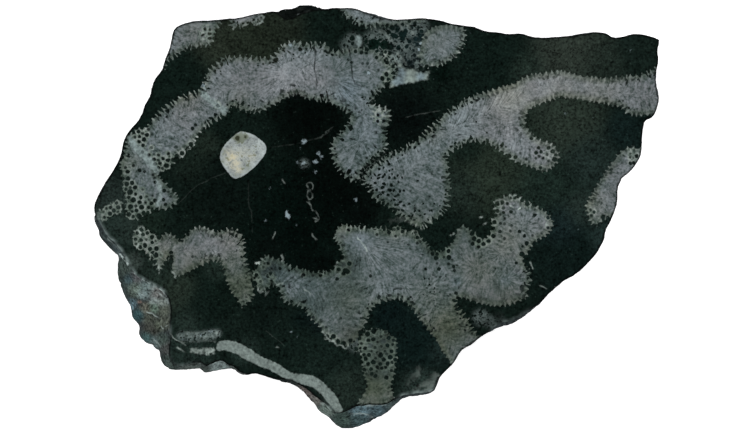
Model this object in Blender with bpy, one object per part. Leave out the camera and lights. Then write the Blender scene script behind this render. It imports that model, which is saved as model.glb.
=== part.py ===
"""A polished slab of black limestone that holds a branching fossil coral.

The slab is one stone. Its top is sawn flat and polished, its underside is sawn flat, and all round
it the stone is broken: scoops left by the hammer, and a long shelving break at the lower left and
at the lower tip. Metres, +Z up. The origin is under the middle of the slab, on its underside.
"""

import math
import random

import bmesh
import bpy
from mathutils import Vector, noise

MM = 0.001

# Driving sizes
SLAB_WIDTH = 100.0 * MM
SLAB_THICKNESS = 14.0 * MM

# The outline is given in pixels of the photograph, which looks straight down on the polished face
PHOTO_LEFT, PHOTO_RIGHT = 93.1, 659.1
PHOTO_TOP, PHOTO_BOTTOM = 4.2, 428.6
PIXEL = SLAB_WIDTH / (PHOTO_RIGHT - PHOTO_LEFT)

# Edge of the polished face, clockwise from the left tip. A station is (x, y), or (x, y, run x, run y)
# where the break below it runs out past the edge and shows from above.
UPPER_LEFT_EDGE = [
    (94, 212), (94, 204), (97, 196), (103, 185), (112, 171), (118, 160), (121, 152), (122, 144),
    (124, 138), (129, 130), (136, 122), (141, 114), (144, 105), (150, 96), (152, 85), (155, 77),
    (161, 70), (164, 60), (169, 48), (171, 38), (173, 30), (178, 25), (187, 22), (199, 20),
]
TOP_EDGE = [
    (218, 20), (227, 18), (240, 17), (252, 14), (264, 12), (272, 11), (279, 13.5, 0, -1.5),
    (284, 18, -1, -8), (291, 17.5, 1, -11), (298, 14, 1, -9.5), (306, 11, 1, -7),
    (315, 9, 0, -4), (324, 8), (345, 7), (355, 8), (363, 11), (378, 16), (392, 19), (407, 18.5),
    (422, 18), (440, 20), (450, 23), (463, 25), (473, 26), (481, 29), (487, 31), (500, 32),
    (508, 33.5), (520, 33), (530, 35.5), (541, 37), (560, 36), (572, 35), (582, 33), (593, 31.5),
    (605, 33), (613, 37), (623, 36), (632, 33.5), (643, 34), (651, 36), (657, 38),
]
RIGHT_EDGE = [
    (659, 41), (657, 50), (658, 60), (656, 70), (655, 80), (657, 90), (658.5, 98), (657, 106),
    (653, 115), (645, 120), (643, 126), (642, 134), (641, 150), (639, 158), (634, 166),
    (628, 172.5), (622, 177), (619, 183), (617, 190), (617, 200), (615, 208), (610, 221),
    (605, 230), (604, 238), (600, 246), (596, 253), (590, 260), (581, 269), (572, 276),
]
LOWER_RIGHT_EDGE = [
    (563, 281), (550, 292), (540, 302), (528, 310, 1, 1), (520, 316, 1, 2), (510, 321, 0, 2),
    (500, 323, 0, 2), (489, 331), (478, 338), (471, 344), (461, 350), (455, 360), (450, 366),
    (440, 376), (436, 385), (430, 391, 1, 1), (418, 393, 0, 2), (407, 394, 0, 2),
]
LOWER_TIP_BREAK = [
    (396, 398, 2, 3), (387, 404, 1, 6), (378, 405, 0, 12), (368, 405, -1, 19.5), (358, 406, -3, 22.5),
    (350, 409, -5, 21.5), (343, 412, -6, 12), (337, 413, -5, 4), (331, 409, -6, 5),
    (326, 404, -6, 6), (320, 400, -4, 5), (313, 395, -3, 4),
]
BOTTOM_EDGE = [
    (301, 386, -1, 3), (290, 380, 0, 2.5), (280, 379, 0, 1.5), (270, 377), (262, 375), (254, 373),
    (247, 374.5), (240, 372, 0, 1), (234, 367), (229, 365, 0, 2), (221, 361, 1, 8.5),
    (212, 363, -1, 8), (206, 366, -2, 4), (200, 362, 0, 5), (191, 363, 0, 6), (182, 366, -2, 4),
]
LOWER_LEFT_BREAK = [
    (173, 365, -4, 4), (169, 358, -6, 3), (168, 350, -9, 1), (169, 340, -16, 4),
    (169, 330, -24, 11), (169, 318, -29, 16), (170, 307, -32, 18), (168, 299, -35, 18),
    (163, 291, -31, 19), (157, 287, -28, 17), (149, 283, -25, 12), (142, 279, -21, 9),
    (136, 275, -18, 5), (131, 270, -14, 0), (127, 262, -8.5, 0), (122, 253, -5, 2),
    (116, 245, -7, 4), (109, 238, -6, 4), (103, 230, -5, 3), (98, 221, -4, 1),
]
FACE_EDGE = (
    UPPER_LEFT_EDGE
    + TOP_EDGE
    + RIGHT_EDGE
    + LOWER_RIGHT_EDGE
    + LOWER_TIP_BREAK
    + BOTTOM_EDGE
    + LOWER_LEFT_BREAK
)

CURVE_STEPS = 8  # points of the smooth curve between one station and the next

# The broken side: rings of points from the polished face down to the underside
RING_POINTS = 360
RING_DEPTHS = (0.0, 0.03, 0.09, 0.17, 0.27, 0.38, 0.50, 0.62, 0.74, 0.86, 0.95, 1.0)
NOSE_DEPTHS = (0.28, 0.72)  # where a short and a long shelving break reach furthest out
SHELVING_RUN = 0.9 * MM  # a break that runs out this far or more is a shelving one
LONG_RUN = 5.0 * MM  # and one that runs out this far is a long one
NOTCHES_FADE = 0.55  # share of the thickness over which the face edge's small notches die out
NOTCH_LENGTH = 6.0 * MM  # notches shorter than this are the small ones
NORMAL_REACH = 3  # ring points either side from which the outward direction is taken
FOOT_ARRIS = 0.45 * MM  # the worn edge of the underside

# Elsewhere the side draws in towards the underside, by an amount that waves round the slab
LEAN_LEAST, LEAN_MOST = 0.6 * MM, 3.4 * MM
LEAN_WAVES = ((3, 0.4), (5, 2.1), (8, 4.4))  # waves round the slab, and where each starts

# Hammer scoops in the broken side
SCOOP_SEED = 11
SCOOP_SPACING = 7.0 * MM
SCOOP_ROWS = (0.30, 0.80)  # shares of the thickness below the face
SCOOP_STRAY = (0.35, 0.18)  # stray along the edge and in height: shares of spacing and thickness
SCOOP_DEPTH = (0.5 * MM, 2.0 * MM)
SCOOP_RADIUS = (5.0 * MM, 13.0 * MM)
SCOOP_FADE = 0.20  # share of the thickness over which the scoops start below the face
SCOOP_ON_SHELF = 0.18  # share of a scoop's depth that shows on a shelving break

# Ledges where the break stepped from one plane to another: (from and to, as shares of the way
# round; height at each end, as shares of the thickness; step inwards below it)
LEDGES = (
    (0.06, 0.17, 0.62, 0.40, 1.3 * MM),
    (0.24, 0.37, 0.45, 0.70, -0.9 * MM),
    (0.41, 0.52, 0.55, 0.35, 1.5 * MM),
    (0.58, 0.66, 0.70, 0.50, 1.1 * MM),
    (0.93, 0.99, 0.35, 0.55, 1.0 * MM),
)
LEDGE_SLOPE = 0.9 * MM  # height over which a ledge makes its step
LEDGE_END = 0.02  # share of the way round over which a ledge starts and ends

# The hackly grain of the break
HACKLE_SIZE = 3.2 * MM
HACKLE_DEPTH = 0.35 * MM

STONE_COLOUR = (0.018, 0.024, 0.021, 1.0)
STONE_ROUGHNESS = 0.35


def clear_scene():
    for obj in list(bpy.data.objects):
        bpy.data.objects.remove(obj, do_unlink=True)


def from_photo(x, y):
    """A pixel of the photograph as a point of the slab's plan."""
    return Vector(
        (
            (x - (PHOTO_LEFT + PHOTO_RIGHT) / 2) * PIXEL,
            ((PHOTO_TOP + PHOTO_BOTTOM) / 2 - y) * PIXEL,
        )
    )


def stations():
    """Each station of the edge as (point on the face's edge, how far the break runs out)."""
    found = []
    for station in FACE_EDGE:
        run_x, run_y = station[2:] or (0.0, 0.0)
        found.append((from_photo(*station[:2]), Vector((run_x, -run_y)) * PIXEL))
    return found


def catmull_rom(a, b, c, d, t):
    return 0.5 * (
        2 * b + (c - a) * t + (2 * a - 5 * b + 4 * c - d) * t**2 + (3 * b - a - 3 * c + d) * t**3
    )


def smooth_edge():
    """A smooth closed curve through the stations, with the break's run carried along it."""
    given = stations()
    count = len(given)
    curve = []
    for i in range(count):
        around = [given[(i + k) % count] for k in (-1, 0, 1, 2)]
        for step in range(CURVE_STEPS):
            t = step / CURVE_STEPS
            point = catmull_rom(*(station[0] for station in around), t)
            run = around[1][1].lerp(around[2][1], t)
            curve.append((point, run))
    return curve


def evenly(curve, count):
    """The closed curve as count points the same distance apart, each with its run and its place."""
    lengths = [0.0]
    for i, (point, _) in enumerate(curve):
        lengths.append(lengths[-1] + (curve[(i + 1) % len(curve)][0] - point).length)
    even = []
    i = 0
    for k in range(count):
        place = lengths[-1] * k / count
        while lengths[i + 1] < place:
            i += 1
        t = (place - lengths[i]) / (lengths[i + 1] - lengths[i])
        here, there = curve[i], curve[(i + 1) % len(curve)]
        even.append((here[0].lerp(there[0], t), here[1].lerp(there[1], t), place))
    return even, lengths[-1]


def reach_in_points(length, perimeter):
    return max(1, round(length / perimeter * RING_POINTS))


def without_notches(edge, perimeter):
    """The plan points of the edge with its small notches smoothed away."""
    reach = reach_in_points(NOTCH_LENGTH, perimeter)
    smooth = []
    for i in range(RING_POINTS):
        near = [edge[(i + k) % RING_POINTS][0] for k in range(-reach, reach + 1)]
        smooth.append(sum(near, Vector((0.0, 0.0))) / len(near))
    return smooth


def outward(smooth, i):
    """The outward direction at point i of the smoothed edge."""
    along = smooth[(i + NORMAL_REACH) % RING_POINTS] - smooth[i - NORMAL_REACH]
    return Vector((-along.y, along.x)).normalized()


def scoop_centres(perimeter):
    """(place along the edge, height, depth, radius) of each hammer scoop."""
    chance = random.Random(SCOOP_SEED)
    count = round(perimeter / SCOOP_SPACING)
    along, up = SCOOP_STRAY
    centres = []
    for row in SCOOP_ROWS:
        for k in range(count):
            place = (k + chance.uniform(-along, along)) * perimeter / count
            height = SLAB_THICKNESS * (1 - row + chance.uniform(-up, up))
            depth = chance.uniform(*SCOOP_DEPTH)
            centres.append((place, height, depth, chance.uniform(*SCOOP_RADIUS)))
    return centres


def scooped(place, height, perimeter, centres):
    """How much the scoops take off the side at this place and height."""
    deepest = 0.0
    for at, centre_height, depth, radius in centres:
        across = abs(place - at) % perimeter
        across = min(across, perimeter - across)
        apart = across**2 + (height - centre_height) ** 2
        deepest = max(deepest, depth - apart / (2 * radius))
    return deepest


def stepped(round_share, height):
    """How much the ledges take off the side at this share of the way round and this height."""
    total = 0.0
    for start, stop, height_at_start, height_at_stop, step in LEDGES:
        along = (round_share - start) / (stop - start)
        ledge = SLAB_THICKNESS * (height_at_start + along * (height_at_stop - height_at_start))
        there = min(round_share - start, stop - round_share) / LEDGE_END
        below = 0.5 + (ledge - height) / LEDGE_SLOPE
        total += step * min(1.0, max(0.0, there)) * min(1.0, max(0.0, below))
    return total


def lean_at(round_share):
    """How far the side draws in by the underside, where no break shelves out."""
    angle = 2 * math.pi * round_share
    wave = sum(math.sin(waves * angle + start) for waves, start in LEAN_WAVES)
    share = 0.5 + 0.5 * wave / len(LEAN_WAVES)
    return LEAN_LEAST + share * (LEAN_MOST - LEAN_LEAST)


def nose_depth(run, shelving):
    """Where the side reaches furthest out, as a share of the thickness: 0 where nothing shelves."""
    short, long = NOSE_DEPTHS
    return shelving * (short + (long - short) * min(1.0, run.length / LONG_RUN))


def side_point(station, smooth, normal, depth, perimeter, centres):
    """A point of the broken side, at a share of the thickness below the polished face."""
    point, run, place = station
    height = SLAB_THICKNESS * (1 - depth)
    shelving = min(1.0, run.length / SHELVING_RUN)
    nose = nose_depth(run, shelving)
    below = max(0.0, (depth - nose) / (1 - nose))
    run_out = math.sin(math.pi / 2 * min(1.0, depth / nose)) if nose else 0.0
    grain = noise.noise(Vector((point.x, point.y, height)) / HACKLE_SIZE)
    broken = scooped(place, height, perimeter, centres) + HACKLE_DEPTH * (0.5 + grain)
    struck = max(SCOOP_ON_SHELF * min(1.0, depth / SCOOP_FADE), min(1.0, below / SCOOP_FADE))
    inward = broken * struck + lean_at(place / perimeter) * below
    inward += stepped(place / perimeter, height) * (1 - shelving)
    if depth == 1.0:
        inward += FOOT_ARRIS
    worn = min(1.0, depth / NOTCHES_FADE) * (1 - shelving)
    plan = point.lerp(smooth, worn) + run * run_out - normal * inward
    return Vector((plan.x, plan.y, height))


def stone_material():
    material = bpy.data.materials.new("polished_limestone")
    material.use_nodes = True
    shader = material.node_tree.nodes["Principled BSDF"]
    shader.inputs["Base Color"].default_value = STONE_COLOUR
    shader.inputs["Roughness"].default_value = STONE_ROUGHNESS
    shader.inputs["Metallic"].default_value = 0.0
    return material


def coral_slab():
    """The stone: a polished top, a broken side in rings, and a sawn underside."""
    edge, perimeter = evenly(smooth_edge(), RING_POINTS)
    smooth = without_notches(edge, perimeter)
    normals = [outward(smooth, i) for i in range(RING_POINTS)]
    centres = scoop_centres(perimeter)
    shape = bmesh.new()
    rings = [
        [
            shape.verts.new(side_point(*at_point, depth, perimeter, centres))
            for at_point in zip(edge, smooth, normals)
        ]
        for depth in RING_DEPTHS
    ]
    for upper, lower in zip(rings, rings[1:]):
        for i in range(RING_POINTS):
            after = (i + 1) % RING_POINTS
            shape.faces.new((upper[i], upper[after], lower[after], lower[i]))
    shape.faces.new(reversed(rings[0]))
    shape.faces.new(rings[-1])
    bmesh.ops.recalc_face_normals(shape, faces=shape.faces)
    mesh = bpy.data.meshes.new("coral_slab")
    shape.to_mesh(mesh)
    shape.free()
    mesh.materials.append(stone_material())
    slab = bpy.data.objects.new("coral_slab", mesh)
    bpy.context.scene.collection.objects.link(slab)
    return slab


def main():
    clear_scene()
    coral_slab()


main()
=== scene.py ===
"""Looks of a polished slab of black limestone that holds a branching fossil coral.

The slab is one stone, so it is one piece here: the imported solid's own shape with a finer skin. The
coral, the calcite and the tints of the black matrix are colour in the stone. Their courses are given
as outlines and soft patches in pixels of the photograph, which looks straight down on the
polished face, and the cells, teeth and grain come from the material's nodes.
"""

import math

import bmesh
import bpy
import numpy as np
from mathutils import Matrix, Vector, geometry, kdtree, noise


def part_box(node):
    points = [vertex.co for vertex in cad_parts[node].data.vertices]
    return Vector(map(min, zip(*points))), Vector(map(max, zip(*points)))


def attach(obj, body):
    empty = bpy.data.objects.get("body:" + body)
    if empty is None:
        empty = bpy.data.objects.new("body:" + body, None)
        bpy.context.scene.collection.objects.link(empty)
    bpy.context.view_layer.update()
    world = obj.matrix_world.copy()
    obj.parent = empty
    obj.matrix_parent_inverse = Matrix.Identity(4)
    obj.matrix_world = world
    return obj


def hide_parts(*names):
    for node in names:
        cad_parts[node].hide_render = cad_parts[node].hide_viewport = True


MM = 0.001

# The photograph: its size, the point that the camera looks at, the slab's middle, and its scale
PHOTO_SIZE = (753, 435)
PHOTO_MIDDLE = (376.0, 217.0)
SLAB_MIDDLE = (376.1, 216.4)
SLAB_WIDTH_PIXELS = 566.0
SLAB_WIDTH_MM = 100.0
PIXEL_MM = SLAB_WIDTH_MM / SLAB_WIDTH_PIXELS

# The stone's finer skin: how close its points stand, and closer still round the open tubes
TOP_GRID_MM = 0.35
UNDER_GRID_MM = 1.6
SIDE_CUTS = 2
FINE_GRID_MM = 0.17
FINE_REACH_MM = 0.28
FINE_GAP_MM = 0.2
# How far apart the rows of a grid of equal triangles are, as a share of its points' spacing
ROW_SHARE = math.sqrt(0.75)
# The smooth curves through the outlines and lines below have points this close together
CURVE_STEP_MM = 0.07
# Closer than this, in metres, two points are one, and a point is on the rim of a flat face
SAME_POINT = 1e-6
RIM_TOLERANCE = 1e-5

# The open tubes: how far out their depth is told, the wall between two of them, and how near to
# each other's middles, as a share of both radii, they are one slot
TUBE_REACH_MM = 2.0
HALF_WALL_MM = 0.12
SLOT_SHARE = 0.8
# The radius, in pixels, from which a tube is fully dark
DARK_RADIUS = 1.5

# Outlines of the coral, clockwise or not, in pixels; where one leaves the slab it runs on outside
CORAL = {
    "corner_lobe": [
        (150, 40), (160, 70), (168, 60), (172, 58), (178, 54), (182, 51), (188, 49), (195, 47),
        (203, 46), (208, 45), (212, 40), (213, 35), (215, 30), (218, 26), (222, 15), (200, 10),
        (170, 12),
    ],
    "top_strip": [
        (229, 20), (230, 27), (237, 28), (245, 26), (252, 24), (260, 23), (263, 18), (262, 10),
        (245, 8), (230, 12),
    ],
    "arch": [
        (127, 135), (133, 133), (140, 131), (146, 127), (150, 121), (155, 115), (160, 109),
        (167, 104), (172, 101), (180, 96), (188, 93), (195, 91), (200, 89), (203, 83), (205, 77),
        (207, 71), (211, 67), (216, 62), (222, 57), (228, 56), (236, 56), (246, 55), (255, 57),
        (262, 57), (268, 57), (273, 54), (278, 48), (283, 44), (290, 41), (297, 41), (305, 43),
        (315, 42), (325, 43), (329, 48), (335, 50), (342, 50), (348, 48), (355, 47), (365, 48),
        (375, 50), (384, 60), (393, 70), (392, 78), (386, 84), (380, 90), (375, 97), (374, 104),
        (388, 108), (390, 117), (387, 125), (386, 135), (387, 143), (386, 149), (380, 154),
        (372, 162), (362, 172), (357, 180), (350, 180), (345, 177), (338, 170), (333, 160),
        (330, 150), (332, 141), (337, 134), (343, 128), (347, 122), (350, 118), (347, 113),
        (342, 109), (335, 105), (325, 101), (315, 100), (305, 98), (300, 95), (295, 94), (290, 96),
        (284, 98), (278, 102), (270, 106), (262, 111), (252, 112), (243, 110), (236, 107),
        (231, 106), (228, 112), (222, 117), (214, 121), (208, 125), (200, 131), (196, 137),
        (190, 145), (185, 149), (180, 152), (175, 157), (168, 163), (160, 168), (156, 173),
        (160, 178), (167, 185), (172, 190), (177, 198), (175, 204), (168, 208), (160, 209),
        (152, 208), (145, 212), (140, 216), (133, 217), (127, 214), (125, 207), (126, 198),
        (124, 190), (122, 180), (121, 172), (120, 163), (122, 155), (124, 145),
    ],
    "top_patch": [
        (340, 10), (345, 16), (352, 22), (362, 26), (370, 28), (380, 25), (390, 27), (397, 24),
        (405, 24), (415, 22), (425, 20), (425, 12), (400, 8), (360, 2), (340, 4),
    ],
    "round_patch": [
        (424, 33), (422, 38), (419, 44), (420, 50), (417, 56), (420, 62), (425, 67), (432, 66),
        (440, 65), (448, 61), (455, 57), (460, 50), (464, 42), (465, 33), (462, 27), (450, 24),
        (438, 25), (430, 28),
    ],
    "right_branch": [
        (391, 152), (400, 148), (410, 143), (420, 136), (428, 127), (437, 120), (445, 112),
        (455, 105), (464, 99), (470, 97), (478, 93), (487, 91), (495, 88), (505, 85), (515, 82),
        (522, 77), (530, 74), (540, 73), (550, 71), (560, 70), (570, 72), (580, 75), (590, 76),
        (600, 77), (610, 77), (620, 76), (630, 75), (640, 74), (647, 71), (653, 68), (675, 60),
        (675, 120), (655, 116), (650, 114), (643, 115), (635, 115), (627, 113), (620, 107),
        (612, 105), (603, 103), (590, 101), (580, 99), (570, 98), (560, 97), (550, 100),
        (540, 103), (533, 106), (527, 112), (525, 120), (527, 128), (533, 135), (540, 140),
        (548, 142), (555, 147), (558, 155), (556, 162), (550, 167), (543, 171), (535, 168),
        (527, 165), (518, 162), (510, 157), (503, 152), (495, 147), (487, 143), (478, 142),
        (468, 143), (458, 147), (450, 152), (446, 157), (448, 165), (449, 175), (450, 185),
        (449, 195), (449, 205), (441, 214), (433, 220), (427, 226), (420, 227), (407, 221),
        (398, 215), (390, 208), (382, 203), (375, 200), (370, 193), (367, 187), (362, 182),
        (365, 172), (372, 165), (380, 160), (386, 155),
    ],
    "right_edge": [
        (650, 146), (640, 148), (630, 146), (622, 150), (615, 157), (609, 166), (603, 174),
        (598, 182), (593, 191), (588, 200), (585, 207), (587, 213), (590, 222), (597, 225),
        (603, 219), (612, 217), (630, 215), (660, 160),
    ],
    "lower_middle": [
        (265, 256), (258, 262), (256, 268), (252, 273), (255, 281), (259, 289), (264, 291),
        (270, 286), (278, 287), (280, 294), (284, 301), (292, 304), (300, 306), (306, 312),
        (312, 319), (319, 326), (323, 333), (330, 337), (337, 342), (345, 346), (350, 344),
        (356, 339), (361, 330), (366, 320), (370, 310), (378, 303), (388, 300), (400, 299),
        (408, 305), (415, 312), (420, 320), (428, 330), (436, 340), (440, 348), (445, 355),
        (450, 362), (470, 375), (500, 350), (482, 337), (474, 330), (470, 322), (464, 313),
        (458, 307), (455, 300), (460, 297), (470, 300), (480, 303), (490, 305), (500, 306),
        (510, 304), (520, 300), (527, 296), (527, 288), (530, 280), (530, 272), (525, 265),
        (522, 258), (527, 252), (530, 246), (535, 240), (543, 236), (548, 232), (552, 226),
        (552, 220), (548, 214), (541, 209), (534, 205), (525, 203), (520, 198), (512, 195),
        (503, 196), (497, 202), (494, 208), (496, 215), (492, 222), (491, 230), (487, 237),
        (480, 241), (473, 236), (470, 230), (463, 225), (458, 228), (455, 235), (452, 242),
        (446, 247), (440, 251), (432, 250), (427, 244), (420, 238), (412, 233), (402, 230),
        (392, 231), (380, 229), (370, 228), (362, 226), (350, 226), (343, 224), (335, 229),
        (333, 236), (337, 242), (340, 250), (342, 257), (337, 262), (333, 268), (325, 272),
        (315, 272), (305, 270), (297, 267), (288, 265), (280, 260), (272, 257),
    ],
    "left_hook": [
        (133, 235), (137, 227), (144, 229), (152, 235), (160, 236), (167, 232), (172, 234),
        (178, 239), (183, 237), (188, 231), (195, 227), (202, 226), (210, 229), (218, 231),
        (228, 228), (237, 230), (242, 236), (244, 243), (244, 252), (247, 262), (249, 272),
        (252, 284), (253, 295), (247, 303), (241, 306), (236, 298), (230, 290), (226, 280),
        (223, 270), (220, 264), (213, 260), (203, 264), (195, 268), (188, 272), (180, 275),
        (173, 274), (170, 266), (168, 256), (163, 264), (158, 270), (155, 262), (150, 255),
        (143, 250), (137, 244),
    ],
    "bottom_patch": [
        (363, 333), (368, 329), (376, 329), (385, 331), (391, 333), (396, 342), (395, 355),
        (394, 372), (391, 385), (393, 398), (385, 404), (367, 405), (357, 403), (362, 395),
        (366, 385), (363, 372), (361, 355), (360, 342),
    ],
    "left_chain": [
        (96, 212), (104, 207), (112, 203), (120, 199), (122, 203), (117, 210), (110, 214),
        (104, 220), (97, 219),
    ],
}

# Where the cut runs across the coral's tubes they show as a honeycomb: (x, y, radius, strength)
HONEYCOMB = [
    (207, 33, 13, 0.7), (135, 192, 16, 0.9), (134, 209, 13, 1.0), (150, 205, 11, 0.7),
    (141, 138, 12, 0.95), (152, 150, 12, 0.7), (163, 160, 13, 1.0), (217, 104, 6, 0.8),
    (384, 56, 8, 0.7), (390, 65, 7, 0.9), (387, 76, 8, 0.9), (380, 115, 12, 0.75),
    (633, 156, 11, 0.75), (593, 210, 8, 0.6), (442, 250, 10, 0.9), (483, 238, 13, 0.9),
    (497, 205, 8, 0.6), (493, 222, 7, 0.6), (506, 200, 6, 0.5), (523, 205, 6, 0.5),
    (264, 273, 15, 0.9), (344, 268, 12, 0.9), (378, 351, 24, 1.0), (144, 241, 18, 1.0),
    (155, 254, 9, 0.95), (108, 210, 18, 1.0),
    # Round these the coral is close, with walls round the listed tubes only
    (348, 229, 7, 0.55), (361, 228, 9, 0.55), (378, 229, 11, 0.55), (396, 231, 11, 0.55),
    (413, 236, 9, 0.55), (512, 197, 9, 0.55), (527, 203, 8, 0.55), (546, 222, 8, 0.55),
    (346, 268, 9, 0.58), (321, 273, 6, 0.55), (303, 274, 5, 0.55), (333, 335, 13, 0.58),
    (548, 154, 9, 0.58), (541, 165, 7, 0.55), (512, 156, 6, 0.5), (128, 170, 10, 0.55),
    (190, 145, 8, 0.55), (181, 153, 7, 0.55), (258, 287, 8, 0.55),
]
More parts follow.
